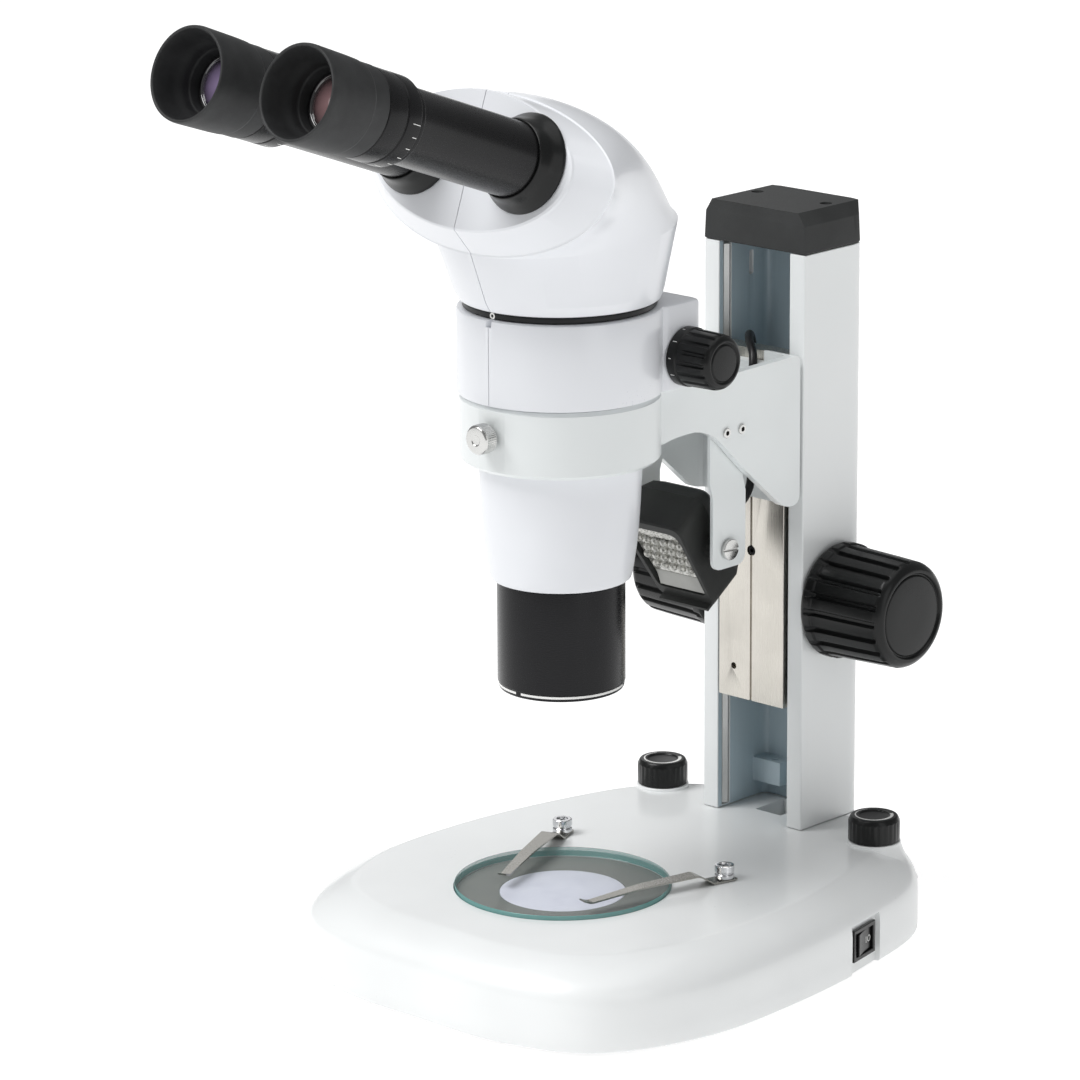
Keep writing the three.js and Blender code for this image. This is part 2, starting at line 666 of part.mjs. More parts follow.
function lampShell() {
  const front = -lampDepth / 2 - 0.5;
  const back = front + lampDepth;
  const low = -lampHeight / 2;
  const high = lampHeight / 2;
  const plan = (inset, y) => {
    const points = roundedShape([[-17.2 + inset, low + inset, 4], [17.2 - inset, low + inset, 4],
      [20.3 - inset, high - inset, 5],
      [-20.3 + inset, high - inset, 5]]).getPoints(4).slice(0, -1);
    return points.map((p) => new THREE.Vector3(p.x, y, p.y));
  };
  const shell = loft([plan(0.8, front), plan(0, front + 0.8), plan(0, back - 9), plan(2.2, back - 2.4),
    plan(4.6, back)]);
  const windowShape = roundedShape([[-14.6, low + 6.6, 3], [14.6, low + 6.6, 3], [17, high - 5, 6],
    [-17, high - 5, 6]]);
  const recess = new THREE.ExtrudeGeometry(windowShape, { depth: 6, bevelEnabled: false,
    curveSegments: 4 })
    .rotateX(Math.PI / 2).translate(0, front + 5, 0);
  const ears = alongX(rod(7, -strapX - 0.2 + 1, strapX + 0.2 - 1, 14));
  const slot = box(7, 13, -2, back + 4, -7.6, 7.6);
  const visor = box(-15, 15, front - 3.4, front + 1.2, low - 0.1, low + 1.4);
  return cut(join(shell, ears, visor), recess, slot, alongX(rod(1.9, -40, 40, 8)));
}

function lampLens() {
  const low = -lampHeight / 2;
  const high = lampHeight / 2;
  const front = -lampDepth / 2 - 0.5;
  const shape = roundedShape([[-14.2, low + 7, 2.8], [14.2, low + 7, 2.8], [16.6, high - 5.4, 5.8],
    [-16.6, high - 5.4, 5.8]]);
  const plate = new THREE.ExtrudeGeometry(shape, { depth: 2, bevelEnabled: false, curveSegments: 4 })
    .rotateX(Math.PI / 2).translate(0, front + 4.6, 0);
  const rows = 4;
  const lenses = [];
  for (let row = 0; row < rows; row++) {
    const across = row % 2 ? 6 : 5;
    for (let i = 0; i < across; i++) {
      const x = (i - (across - 1) / 2) * 5.2;
      const z = (row - (rows - 1) / 2) * 5.6 + 3;
      lenses.push(turned([[0, -1.6], [1.7, -1], [2.4, 0.6],
        [0, 0.6]], 6).rotateX(-Math.PI / 2).translate(x, front + 2.4, z));
    }
  }
  return join(plate, ...lenses);
}

function lampPivot(side) {
  const inner = strapX + joggle + strapThick / 2;
  const screw = turned([[0, 12], [1.6, 12], [1.6, inner + gap], [5, inner + gap], [5, inner + 2.1],
    [4.7, inner + 2.4], [0, inner + 2.4]], 14);
  const slot = box(-6, 6, -0.6, 0.6, inner + 1.3, inner + 4);
  return alongX(cut(screw, slot.rotateZ(0.9))).applyMatrix4(new THREE.Matrix4().makeScale(side, 1, side));
}

function lampLead() {
  const section = new THREE.Shape();
  const corners = 8;
  for (let i = 0; i < corners; i++) {
    const angle = i / corners * 2 * Math.PI;
    const point = [leadRadius * Math.cos(angle), leadRadius * Math.sin(angle)];
    if (i === 0) section.moveTo(...point);
    else section.lineTo(...point);
  }
  section.closePath();
  const route = new THREE.CatmullRomCurve3(leadRoute.map((p) => new THREE.Vector3(...p)),
    false, 'centripetal');
  return new THREE.ExtrudeGeometry(section, { steps: 22, bevelEnabled: false, extrudePath: route });
}

function addLamp() {
  add('lamp_bracket', lampBracket(), 'whitePaint');
  const lamp = new THREE.Group();
  lamp.position.set(0, lampPivotY, lampPivotZ);
  lamp.rotation.x = -lampLean;
  scope.add(lamp);
  add('lamp_housing', lampShell(), 'blackPlastic', lamp);
  add('lamp_lens', lampLens(), 'lens', lamp);
  for (const [name, side] of sides) add(`lamp_pivot_${name}`, lampPivot(side), 'steel', lamp);
  add('lamp_lead', lampLead(), 'blackPlastic');
}

// ---- zoom body: tapered barrel, split housing, knobs, lens carriers and objective ----

function opticsBarrel() {
  const wall = 3;
  const profile = [[30.6, 190], [32, 190.8], [32.9, 193], [34.9, 207], [36.4, 226], [37.2, 246],
    [37.3, 276], [39.5, 278.4],
    [39.5, 282], [36, 282], [35.4, 276], [33, 226], [29.6, 195], [26, 194], [26, 190]];
  return turned([...profile, profile[0]], 24);
}

function objectiveBody() {
  const r = objectiveRadius;
  const bottom = objectiveBottom;
  const top = objectiveTop;
  const profile = [[24, bottom + 1.5], [26.4, bottom], [r - 1, bottom], [r - 0.3, bottom + 0.8],
    [r - 0.3, bottom + 3.2], [r, bottom + 3.6],
    [r, top], [25.4, top], [25.4, top + 4], [22, top + 4], [22, bottom + 5], [24, bottom + 5]];
  return turned([...profile, profile[0]], 24);
}

const domed = (radius, z, thick, bulge, segments = 20) =>
  turned([[0, z - bulge], [radius * 0.6, z - bulge * 0.64], [radius, z], [radius, z + thick],
  [0, z + thick]], segments);

// Half of the split housing: a round shell that runs into a square block at the back.
function zoomHousingHalf(side) {
  const r = housingRadius;
  const blockHalf = 38.5;
  const blockBack = 51;
  const plan = new THREE.Shape();
  const joinAngle = Math.atan2(26, Math.sqrt(r * r - 26 * 26));
  plan.absarc(0, 0, r, Math.PI - joinAngle, joinAngle, false);
  plan.lineTo(blockHalf + 1.6, 27);
  plan.lineTo(blockHalf + 1.6, blockBack - 5);
  plan.quadraticCurveTo(blockHalf + 1.6, blockBack, blockHalf - 3.4, blockBack);
  plan.lineTo(-blockHalf + 3.4, blockBack);
  plan.quadraticCurveTo(-blockHalf - 1.6, blockBack, -blockHalf - 1.6, blockBack - 5);
  plan.lineTo(-blockHalf - 1.6, 27);
  const block = slab(plan, housingBottom + gap, housingTop, 28);
  const cavity = join(rod(40.4, housingBottom - 1, housingTop - 5, 24),
    box(-36, 36, 20, blockBack - 3, housingBottom + 3, housingTop - 5));
  const shaft = alongX(rod(3.6, -50, 50, 10)).translate(0, zoomAxisY, zoomAxisZ);
  const neck = rod(36, housingTop - 10, housingTop + 5, 24);
  const notch = slab(roundedShape([[-3.4, -r - 3], [3.4, -r - 3],
    [0, -r + 4]]), housingTop - 3.6, housingTop + 2);
  const body = cut(block, cavity, shaft, neck, notch);
  const half = side > 0 ? box(0.2, 80, -80, 80, 200, 400) : box(-80, -0.2, -80, 80, 200, 400);
  return keep(body, half);
}

function zoomShaft() {
  return alongX(join(rod(2.8, -56, 56, 10), rod(8, -30, -26, 12), rod(8, 26, 30, 12)));
}

function zoomKnob() {
  const flutes = 14;
  const sections = [[0, 13.6, 0], [4.4, 13.6, 0], [5, 13.2, 1], [20, 12.8, 1], [23, 11.6, 0]];
  const body = loft(sections.map(([z, r, depth]) => flutedSection(r, depth, flutes, z)));
  return cut(body, rod(3.2, -1, 17, 10));
}

// Lens carrier: a plate with two lens barrels, one per eye channel, that the zoom cams move up and down.
function lensCarrier(z) {
  const plate = rod(24, z, z + 2.6, 16);
  const cells = sides.map(([, side]) => moved(cut(rod(9.4, z - 4, z + 6, 12), rod(7.6, z + 1,
    z + 8, 12)), side * 11.5, 0, 0));
  return join(cells[0], plate, cells[1]);
}

function addZoomBody() {
  add('optics_barrel', opticsBarrel(), 'whitePaint');
  add('objective', objectiveBody(), 'satinBlack');
  add('objective_lens', domed(21.6, objectiveBottom + 8, 5, 2.4), 'lens');
  for (const [name, side] of sides) add(`zoom_housing_${name}`, zoomHousingHalf(side), 'whitePaint');
  add('zoom_shaft', zoomShaft(), 'steel').position.set(0, zoomAxisY, zoomAxisZ);
  for (const [name, side] of sides) {
    const knob = add(`zoom_knob_${name}`, zoomKnob(), 'blackPlastic');
    knob.position.set(side * 40.5, zoomAxisY, zoomAxisZ);
    knob.rotation.y = side * Math.PI / 2;
  }
  add('lens_carrier_lower', lensCarrier(214), 'satinBlack');
  add('lens_carrier_upper', lensCarrier(252), 'satinBlack');
}

// ---- viewing head: two half shells lofted from the round mount to the tilted eyepiece face ----

// A point of the head in the plane that leans at an angle from the level plane about the hinge line.
function leaned(x, v, angle) {
  return new THREE.Vector3(x, hingeY + v * Math.cos(angle), hingeZ + v * Math.sin(angle));
}

// An oval with its widest place at v = waist; the far half may be squarer or rounder than an ellipse.
function oval(halfWidth, low, waist, high, power, place) {
  const count = 26;
  return Array.from({ length: count }, (_, i) => {
    const angle = i / count * 2 * Math.PI - Math.PI / 2;
    const [c, s] = [Math.cos(angle), Math.sin(angle)];
    const bend = s > 0 ? 2 / power : 1;
    const x = halfWidth * Math.sign(c) * Math.abs(c) ** bend;
    const reach = Math.abs(s) ** bend;
    return place(x, s > 0 ? waist + (high - waist) * reach : waist - (waist - low) * reach);
  });
}

const creaseAngle = Math.PI / 2 - tubeTilt;
const facePlace = (along) => (x, v) => new THREE.Vector3(
  x,
  hingeY + v * Math.sin(tubeTilt) - along * Math.cos(tubeTilt),
  hingeZ + v * Math.cos(tubeTilt) + along * Math.sin(tubeTilt));

function headLoft(inset) {
  const round = (radius, z, shift = 0) => oval(radius - inset, -radius + inset, 0, radius - inset, 2,
    (x, v) => new THREE.Vector3(x, v + shift, z));
  const sections = inset === 0
    ? [round(44.2, headBottom), round(45.8, headBottom + 1), round(47.6, headBottom + 5, -0.6)]
    : [round(45.8, headBottom + inset), round(47.6, headBottom + inset + 4, -0.6)];
  const steps = 4;
  const heelAngle = Math.atan2(9.6, 109.8);
  for (let i = 0; i <= steps; i++) {
    const t = i / steps;
    const angle = heelAngle + (creaseAngle - heelAngle) * t;
    const length = THREE.MathUtils.lerp(110.2, 73, t ** 0.62);
    const halfWidth = THREE.MathUtils.lerp(54, 73, t ** 1.15);
    const waist = THREE.MathUtils.lerp(56, 39.6, t);
    const power = THREE.MathUtils.lerp(2, 1.8, t);
    sections.push(oval(halfWidth - inset, inset, waist, length - inset, power, (x, v) => leaned(x, v,
      angle)));
  }
  if (inset === 0) sections.push(oval(72.2, 0.8, 39.6, 72.2, 1.8, facePlace(0.5)));
  const faceAlong = faceStep - inset;
  sections.push(oval(60 - inset, faceRise - 1.4 + inset, 40, faceRise + 62.6 - inset, 1.9,
    facePlace(faceAlong - 1.6)));
  sections.push(oval(58.3 - inset, faceRise + inset, 40, faceRise + 62 - inset, 1.9,
    facePlace(faceAlong)));
  return loft(sections);
}

// Everything on a tube is made along +Z from the face and then laid along the tube's own axis.

const faceGroup = new THREE.Group();
faceGroup.position.copy(facePlace(faceStep)(0, tubeRise));
faceGroup.rotation.x = creaseAngle;
scope.add(faceGroup);
faceGroup.updateMatrixWorld(true);

// The kidney-shaped opening that lets the right tube's neck swing.
function swingOpening() {
  const reach = 9.6;
  const margin = 2;
  const [start, end] = [swingRange[0] - margin, swingRange[1] + margin]
    .map((degrees) => swingAngle + THREE.MathUtils.degToRad(degrees));
  const centre = [tubeSpread - swingRadius * Math.cos(swingAngle), -swingRadius * Math.sin(swingAngle)];
  const tip = (angle) => [centre[0] + swingRadius * Math.cos(angle),
    centre[1] + swingRadius * Math.sin(angle)];
  const kidney = new THREE.Shape();
  kidney.absarc(...centre, swingRadius + reach, start, end, false);
  kidney.absarc(...tip(end), reach, end, end + Math.PI, false);
  kidney.absarc(...centre, swingRadius - reach, end, start, true);
  kidney.absarc(...tip(start), reach, start + Math.PI, start + 2 * Math.PI, false);
  return slab(kidney, -12, 3, 5);
}

function headShells() {
  const whole = cut(headLoft(0), headLoft(3.2), rod(36, headBottom - 2, headBottom + 8, 24));
  const pose = new THREE.Matrix4().makeRotationX(creaseAngle).setPosition(faceGroup.position);
  const opening = swingOpening();
  const openings = [opening, mirrorX(opening)].map((tool) => tool.applyMatrix4(pose));
  const open = cut(whole, ...openings);
  const shells = {};
  for (const [name, side] of sides) {
    const half = side > 0 ? box(0.2, 90, -120, 90, 300, 440) : box(-90, -0.2, -120, 90, 300, 440);
    shells[name] = keep(open, half);
  }
  return shells;
}

function addHead() {
  const mount = turned([[30, housingTop - 8], [34.6, housingTop - 8], [34.6, housingTop + gap],
    [43.6, housingTop + gap],
    [43.6, headBottom - gap], [35, headBottom - gap], [35, headBottom + 5], [30, headBottom + 5],
    [30, housingTop - 8]], 28);
  add('head_mount_ring', mount, 'satinBlack');
  for (const [name, shell] of Object.entries(headShells())) add(`head_shell_${name}`,
    shell, 'whitePaint');
}

// ---- eyepieces: swinging tube, flared collar, diopter ring, eye lens and eyecup ----

function eyepieceTube() {
  const profile = [[0, -9], [9, -9], [9, 10.4], [16.9, 10.4], [16.9, tubeEnd - 3], [18.6, tubeEnd - 2.4],
    [18.6, tubeEnd], [15.6, tubeEnd],
    [15.6, tubeEnd + 14], [14, tubeEnd + 14], [14, 16], [0, 16]];
  return turned(profile, 24);
}

function tubeCollar() {
  const profile = [[9.3, collarBase], [22.6, collarBase], [22.2, collarBase + 1.8], [19.6, 6.4],
    [18.3, 10.4], [17.3, 11.8],
    [17.3, 10], [9.3, 10]];
  return turned([...profile, profile[0]], 24);
}

function diopterRing() {
  const start = tubeEnd + 0.4;
  const profile = [[16, start], [19.2, start], [20, start + 0.8], [20, start + 9], [19.5, start + 10],
    [20, start + 11],
    [20, diopterEnd - 0.6], [19.4, diopterEnd], [16, diopterEnd]];
  return turned([...profile, profile[0]], 24);
}

function eyeLens() {
  const profile = [[0, tubeEnd + 20], [13.6, tubeEnd + 20], [13.6, 125.4], [11.6, 126.4], [0, 128.4]];
  return turned(profile, 16);
}

// Rubber cup: a sleeve that steps in to the lens barrel and flares towards the eye.
function eyecup() {
  const start = diopterEnd + 0.4;
  const end = eyepieceLength;
  const profile = [[14.1, start], [20.2, start], [20.2, start + 9], [21.3, end - 2],
    [20.8, end], [19.6, end - 0.4], [17.2, end - 12], [14.1, end - 18]];
  return turned([...profile, profile[0]], 24);
}

function addEyepieces() {
  for (const [name, side] of sides) {
    const tube = new THREE.Group();
    tube.position.x = side * tubeSpread;
    faceGroup.add(tube);
    add(`eyepiece_tube_${name}`, eyepieceTube(), 'satinBlack', tube);
    add(`tube_collar_${name}`, tubeCollar(), 'blackPlastic', tube);
    add(`diopter_ring_${name}`, diopterRing(), 'satinBlack', tube);
    add(`eye_lens_${name}`, eyeLens(), 'lens', tube);
    add(`eyecup_${name}`, eyecup(), 'rubber', tube);
  }
}

addBase();
addStage();
addClips();
addControls();
addColumn();
addFocusDrive();
addArm();
addLamp();
addZoomBody();
addHead();
addEyepieces();

const group = new THREE.Group();
group.add(scope);

export default group;
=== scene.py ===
import json
import math

import bmesh
import bpy
from mathutils import Matrix, Vector


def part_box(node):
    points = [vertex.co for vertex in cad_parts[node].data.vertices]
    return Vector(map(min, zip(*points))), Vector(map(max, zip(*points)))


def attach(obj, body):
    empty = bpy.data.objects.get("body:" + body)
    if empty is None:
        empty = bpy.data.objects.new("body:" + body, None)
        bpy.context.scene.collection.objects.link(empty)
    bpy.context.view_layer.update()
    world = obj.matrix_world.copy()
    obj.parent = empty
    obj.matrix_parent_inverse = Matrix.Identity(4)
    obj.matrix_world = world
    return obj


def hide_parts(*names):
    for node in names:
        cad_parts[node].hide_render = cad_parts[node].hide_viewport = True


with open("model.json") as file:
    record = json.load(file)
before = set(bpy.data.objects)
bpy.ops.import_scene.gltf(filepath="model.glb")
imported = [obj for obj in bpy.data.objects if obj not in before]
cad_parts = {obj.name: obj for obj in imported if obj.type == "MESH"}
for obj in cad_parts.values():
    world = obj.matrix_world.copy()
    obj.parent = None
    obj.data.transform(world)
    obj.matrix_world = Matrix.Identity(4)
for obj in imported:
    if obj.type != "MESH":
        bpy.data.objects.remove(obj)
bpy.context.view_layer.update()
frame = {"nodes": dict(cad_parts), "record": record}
nodes = frame["nodes"]
bodyOf = {n: body for body, members in frame["record"]["behaviour"]["bodies"].items() for n in members}
mm = 0.001
sides = (("left", -1), ("right", 1))

# The optical axis is the origin of every size below; sizes are in millimetres.
lensLow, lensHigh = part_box("objective_lens")
axisY = (lensLow.y + lensHigh.y) / 2 / mm
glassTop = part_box("stage_glass")[1].z / mm
print("frame loaded:", len(nodes), "nodes, optical axis at y =", round(axisY, 2), "mm")


view = {"from": (1586.8, -1710.3, 836.6), "to": (-6.9, -6.5, 206.9), "roll": -0.351, "lens": 177.6}
light = {"key": 5, "fill": 4.5, "top": 8, "rim": 2, "world": 0.25,
         "sun": 2.05, "sunFrom": (-0.8, -1.5, 2.3), "sunSoft": 35,
         "floor": (0.4, 0.4, 0.4), "floorGlow": 0.8, "floorReach": 30}


# A point given from the optical axis in millimetres, in the frame's metres.
def fromAxis(x, y, z):
    return Vector((x, y + axisY, z)) * mm


def turned(axis, angle):
    return Matrix.Rotation(angle, 4, axis)


def shifted(*step):
    return Matrix.Translation(step)


def addCamera():
    data = bpy.data.cameras.new("camera")
    data.lens, data.sensor_width = view["lens"], 36
    data.clip_start, data.clip_end = 0.05, 50
    camera = bpy.data.objects.new("camera", data)
    bpy.context.scene.collection.objects.link(camera)
    stand = fromAxis(*view["from"])
    away = fromAxis(*view["to"]) - stand
    aim = away.to_track_quat("-Z", "Y").to_matrix().to_4x4()
    turn = aim @ turned("Z", math.radians(view["roll"]))
    camera.matrix_world = Matrix.Translation(stand) @ turn
    bpy.context.scene.camera = camera


def softBox(name, place, size, power):
    data = bpy.data.lights.new(name, "AREA")
    data.shape, data.size, data.size_y, data.energy = "RECTANGLE", size[0], size[1], power
    lamp = bpy.data.objects.new(name, data)
    bpy.context.scene.collection.objects.link(lamp)
    lamp.location = place
    lamp.rotation_euler = (Vector((0, 0, 0.2)) - Vector(place)).to_track_quat("-Z", "Y").to_euler()


def addStudio():
    softBox("keySoftBox", (-0.9, -1.7, 1.5), (1.3, 1.3), light["key"])
    softBox("fillSoftBox", (2.1, -0.3, 0.9), (0.9, 1.6), light["fill"])
    softBox("topSoftBox", (0.1, 0.1, 1.9), (1.6, 1.6), light["top"])
    softBox("rimSoftBox", (-1.5, 1.3, 1.0), (0.7, 1.4), light["rim"])
    data = bpy.data.lights.new("bigSoftWindow", "SUN")
    data.energy, data.angle = light["sun"], math.radians(light["sunSoft"])
    window = bpy.data.objects.new("bigSoftWindow", data)
    bpy.context.scene.collection.objects.link(window)
    window.rotation_euler = Vector(light["sunFrom"]).to_track_quat("Z", "Y").to_euler()
    world = bpy.data.worlds.new("studio")
    world.use_nodes = True
    back = world.node_tree.nodes["Background"]
    back.inputs["Color"].default_value = (0.98, 0.99, 1, 1)
    back.inputs["Strength"].default_value = light["world"]
    bpy.context.scene.world = world
    bpy.context.scene.view_settings.view_transform = "Standard"


addCamera()
addStudio()
print("camera and lights set")


class Wire:
    # One shader socket. Sums and products of wires add the Math nodes that do them.
    def __init__(self, shader, socket):
        self.shader, self.socket = shader, socket

    def maths(self, operation, *values):
        return self.shader.node("Math", {"operation": operation}, dict(enumerate(values)))

    def __add__(self, other):
        return self.maths("ADD", self, other)

    def __sub__(self, other):
        return self.maths("SUBTRACT", self, other)

    def __rsub__(self, other):
        return self.maths("SUBTRACT", other, self)

    def __mul__(self, other):
        return self.maths("MULTIPLY", self, other)

    def __truediv__(self, other):
        return self.maths("DIVIDE", self, other)

    def __gt__(self, other):
        return self.maths("GREATER_THAN", self, other)

    def __lt__(self, other):
        return self.maths("LESS_THAN", self, other)

    def __abs__(self):
        return self.maths("ABSOLUTE", self)

    __radd__ = __add__
    __rmul__ = __mul__


class Shader:
    def __init__(self, name):
        self.material = bpy.data.materials.new(name)
        self.material.use_nodes = True
        self.tree = self.material.node_tree
        self.tree.nodes.clear()

    # A node of a type, with its settings made first and then its sockets' values or links.
    def node(self, kind, settings=None, sockets=None, out=0):
        made = self.tree.nodes.new("ShaderNode" + kind)
        for name, value in (settings or {}).items():
            if name == "stops":
                ramp = made.color_ramp
                while len(ramp.elements) < len(value):
                    ramp.elements.new(0.5)
                for element, (at, colour) in zip(ramp.elements, value):
                    element.position, element.color = at, colour
            else:
                setattr(made, name, value)
        for name, value in (sockets or {}).items():
            if isinstance(value, Wire):
                self.tree.links.new(value.socket, made.inputs[name])
            else:
                made.inputs[name].default_value = value
        return Wire(self, made.outputs[out]) if made.outputs else None

    def place(self):
        return self.node("TexCoord", out="Object")

    def parts(self, vector):
        split = self.node("SeparateXYZ", {}, {0: vector})
        return [Wire(self, split.socket.node.outputs[i]) for i in range(3)]

    # Object coordinates in millimetres from the optical axis.
    def axes(self):
        x, y, z = self.parts(self.place())
        return x * 1000, y * 1000 - axisY, z * 1000

    def noise(self, size, detail=3, stretch=(1, 1, 1)):
        where = self.node("Mapping", {}, {"Vector": self.place(), "Scale": stretch})
        return self.node("TexNoise", {}, {"Vector": where, "Scale": 1 / (size * mm), "Detail": detail})

    def spread(self, value, low, high, newLow, newHigh):
        return self.node("MapRange", {}, {0: value, 1: low, 2: high, 3: newLow, 4: newHigh})

    def mix(self, share, a, b):
        return self.node("Mix", {"data_type": "RGBA"}, {0: share, 6: a, 7: b}, out=2)

    def bump(self, height, depth):
        return self.node("Bump", {}, {"Height": height, "Distance": depth * mm, "Strength": 1.0})

    def finish(self, **sockets):
        named = {name.replace("_", " "): value for name, value in sockets.items()}
        surface = self.node("BsdfPrincipled", {}, named)
        self.node("OutputMaterial", {}, {"Surface": surface})
        return self.material


# A colour as seen on screen, turned into linear light.
def rgb(*levels):
    shares = [level / 255 for level in levels]
    return tuple(c / 12.92 if c < 0.04045 else ((c + 0.055) / 1.055) ** 2.4 for c in shares) + (1,)


def shaded(colour, factor):
    return tuple(min(1, c * factor) for c in colour[:3]) + (1,)


def paintFinish(name, colour, gloss, peel=1.6, depth=0.0015):
    s = Shader(name)
    patches = s.noise(60, 2)
    specks = s.noise(0.5, 2)
    skin = s.noise(peel, 2)
    base = s.mix(s.spread(patches, 0.35, 0.65, 0, 1), shaded(colour, 0.97), shaded(colour, 1.015))
    base = s.mix((specks > 0.76) * 0.03, base, shaded(colour, 0.8))
    rough = s.spread(patches * 0.6 + skin * 0.4, 0.3, 0.7, gloss - 0.05, gloss + 0.06)
    return s.finish(Base_Color=base, Roughness=rough, Coat_Weight=0.35, Coat_Roughness=0.12,
                    Normal=s.bump(skin, depth))


channel = {"half": 21.75, "front": 133.9, "back": 168.8}


# The column's outside is painted; the inside of its channel shows bare grey-blue metal.
def columnFinish():
    s = Shader("columnPaint")
    x, y, _ = s.axes()
    inside = (abs(x) < channel["half"]) * (y < channel["back"]) * (y > channel["front"])
    streaks = s.noise(0.9, 3, (1, 1, 0.02))
    skin = s.noise(1.5, 2)
    patches = s.noise(50, 2)
    paint = s.mix(patches, rgb(229, 232, 232), rgb(235, 237, 237))
    metal = s.mix(streaks, rgb(182, 198, 206), rgb(192, 207, 214))
    return s.finish(Base_Color=s.mix(inside, paint, metal), Metallic=inside * 0.1,
                    Roughness=s.spread(streaks, 0.3, 0.7, 0.3, 0.42), Coat_Weight=(1 - inside) * 0.3,
                    Coat_Roughness=0.15, Normal=s.bump(skin * (1 - inside) + streaks * inside, 0.006))


def plasticFinish(name, colour, gloss, grain=0.45, depth=0.03, coat=0.0, wear=0.0):
    s = Shader(name)
    texture = s.noise(grain, 3)
    patches = s.noise(25, 3)
    base = s.mix(s.spread(patches, 0.3, 0.7, 0, 1), shaded(colour, 0.86), shaded(colour, 1.14))
    base = s.mix((texture > 0.68) * (0.18 + wear), base, shaded(colour, 1.9))
    rough = s.spread(texture * 0.5 + patches * 0.5, 0.3, 0.7, gloss - 0.07, gloss + 0.08)
    return s.finish(Base_Color=base, Roughness=rough, Coat_Weight=coat, Coat_Roughness=0.2,
                    Specular_IOR_Level=0.18, Normal=s.bump(texture, depth))


def anodisedFinish(name, colour, gloss, stretch):
    s = Shader(name)
    turning = s.noise(0.35, 2, stretch)
    patches = s.noise(30, 2)
    base = s.mix(patches, shaded(colour, 0.8), shaded(colour, 1.2))
    rough = s.spread(turning, 0.3, 0.7, gloss - 0.03, gloss + 0.04)
    return s.finish(Base_Color=base, Metallic=0.35, Roughness=rough, Specular_IOR_Level=0.3,
                    Normal=s.bump(turning, 0.002))


def rubberFinish():
    s = Shader("eyecupRubber")
    pores = s.noise(0.25, 4)
    bloom = s.noise(12, 3)
    base = s.mix(s.spread(bloom, 0.35, 0.7, 0, 1), rgb(26, 27, 28), rgb(41, 42, 43))
    base = s.mix((pores > 0.66) * 0.3, base, rgb(60, 61, 62))
    rough = s.spread(pores, 0.3, 0.7, 0.52, 0.66)
    return s.finish(Base_Color=base, Roughness=rough, Normal=s.bump(pores, 0.03))


def metalFinish(name, colour, gloss, stretch=(1, 1, 1), grain=0.4, depth=0.008):
    s = Shader(name)
    streaks = s.noise(grain, 4, stretch)
    patches = s.noise(18, 3)
    base = s.mix(streaks, shaded(colour, 0.82), shaded(colour, 1.1))
    base = s.mix(s.spread(patches, 0.4, 0.75, 0, 0.35), base, shaded(colour, 0.8))
    rough = s.spread(streaks * 0.7 + patches * 0.3, 0.3, 0.7, gloss - 0.06, gloss + 0.1)
    return s.finish(Base_Color=base, Metallic=1.0, Roughness=rough, Normal=s.bump(streaks, depth))


# Clear plate: reflections grow towards glancing angles and the ground rim shows its green-blue body.
def glassFinish():
    s = Shader("stageGlass")
    up = abs(s.parts(s.node("NewGeometry", out="Normal"))[2])
    rim = up < 0.8
    gloss = s.node("Fresnel", {}, {"IOR": 1.5})
    smears = s.noise(14, 4)
    face = s.mix(smears, rgb(205, 222, 220), rgb(222, 234, 232))
    alpha = rim * 0.62 + (1 - rim) * (0.03 + gloss * 0.16)
    return s.finish(Base_Color=s.mix(rim, face, rgb(104, 176, 172)), Alpha=alpha, IOR=1.5,
                    Roughness=s.spread(smears, 0.4, 0.8, 0.03, 0.09))


# The diffuser's own lilac-white tint, with a faint emission of the same colour that is painted light: the disc glows
# although the lamp under it gives no light in the scene.
def opalFinish():
    s = Shader("opalDiffuser")
    cloud = s.noise(9, 3)
    grain = s.noise(0.3, 2)
    glow = s.mix(s.spread(cloud, 0.3, 0.7, 0, 1), rgb(206, 206, 222), rgb(216, 216, 230))
    return s.finish(Base_Color=glow, Roughness=s.spread(grain, 0.3, 0.7, 0.38, 0.5),
                    Normal=s.bump(grain, 0.01), Emission_Color=glow, Emission_Strength=0.12)


# Coated glass seen down a black barrel, with painted reflection and shade: the middle carries the coating's coloured
# reflection painted into the base colour, and it falls off to a rim of painted shade from the barrel.
def lensFinish(name, centre, tilt, reflectedTint, edge, radius):
    s = Shader(name)
    aligned = s.node("Mapping", {"vector_type": "TEXTURE"},
                     {"Vector": s.place(), "Location": centre, "Rotation": tilt})
    x, y = (part * 1000 for part in s.parts(aligned)[:2])
    away = s.node("Math", {"operation": "SQRT"}, {0: x * x + y * y})
    smear = s.noise(4, 3)
    # The ramp paints the coating's reflection in the middle and the barrel's shade at the rim into the base colour.
    colour = s.node("ValToRGB", {"stops": [(0, reflectedTint), (0.55, shaded(reflectedTint, 0.7)), (1, edge)]},
                    {0: away / radius + (smear - 0.5) * 0.25})
    return s.finish(Base_Color=colour, Roughness=s.spread(smear, 0.4, 0.8, 0.02, 0.06),
                    Coat_Weight=1.0, Coat_Roughness=0.02, Specular_IOR_Level=0.8)


def boardFinish():
    s = Shader("circuitBoard")
    tracks = s.node("TexBrick", {}, {"Vector": s.place(), "Scale": 160.0, "Mortar Size": 0.04,
                                     "Color1": rgb(24, 78, 46), "Color2": rgb(28, 88, 52),
                                     "Mortar": rgb(150, 140, 70)})
    raised = s.axes()[2] > 15.9   # the light chips stand above the board's face
    return s.finish(Base_Color=s.mix(raised, tracks, rgb(240, 236, 205)),
                    Roughness=s.spread(s.noise(2), 0.3, 0.7, 0.35, 0.5))


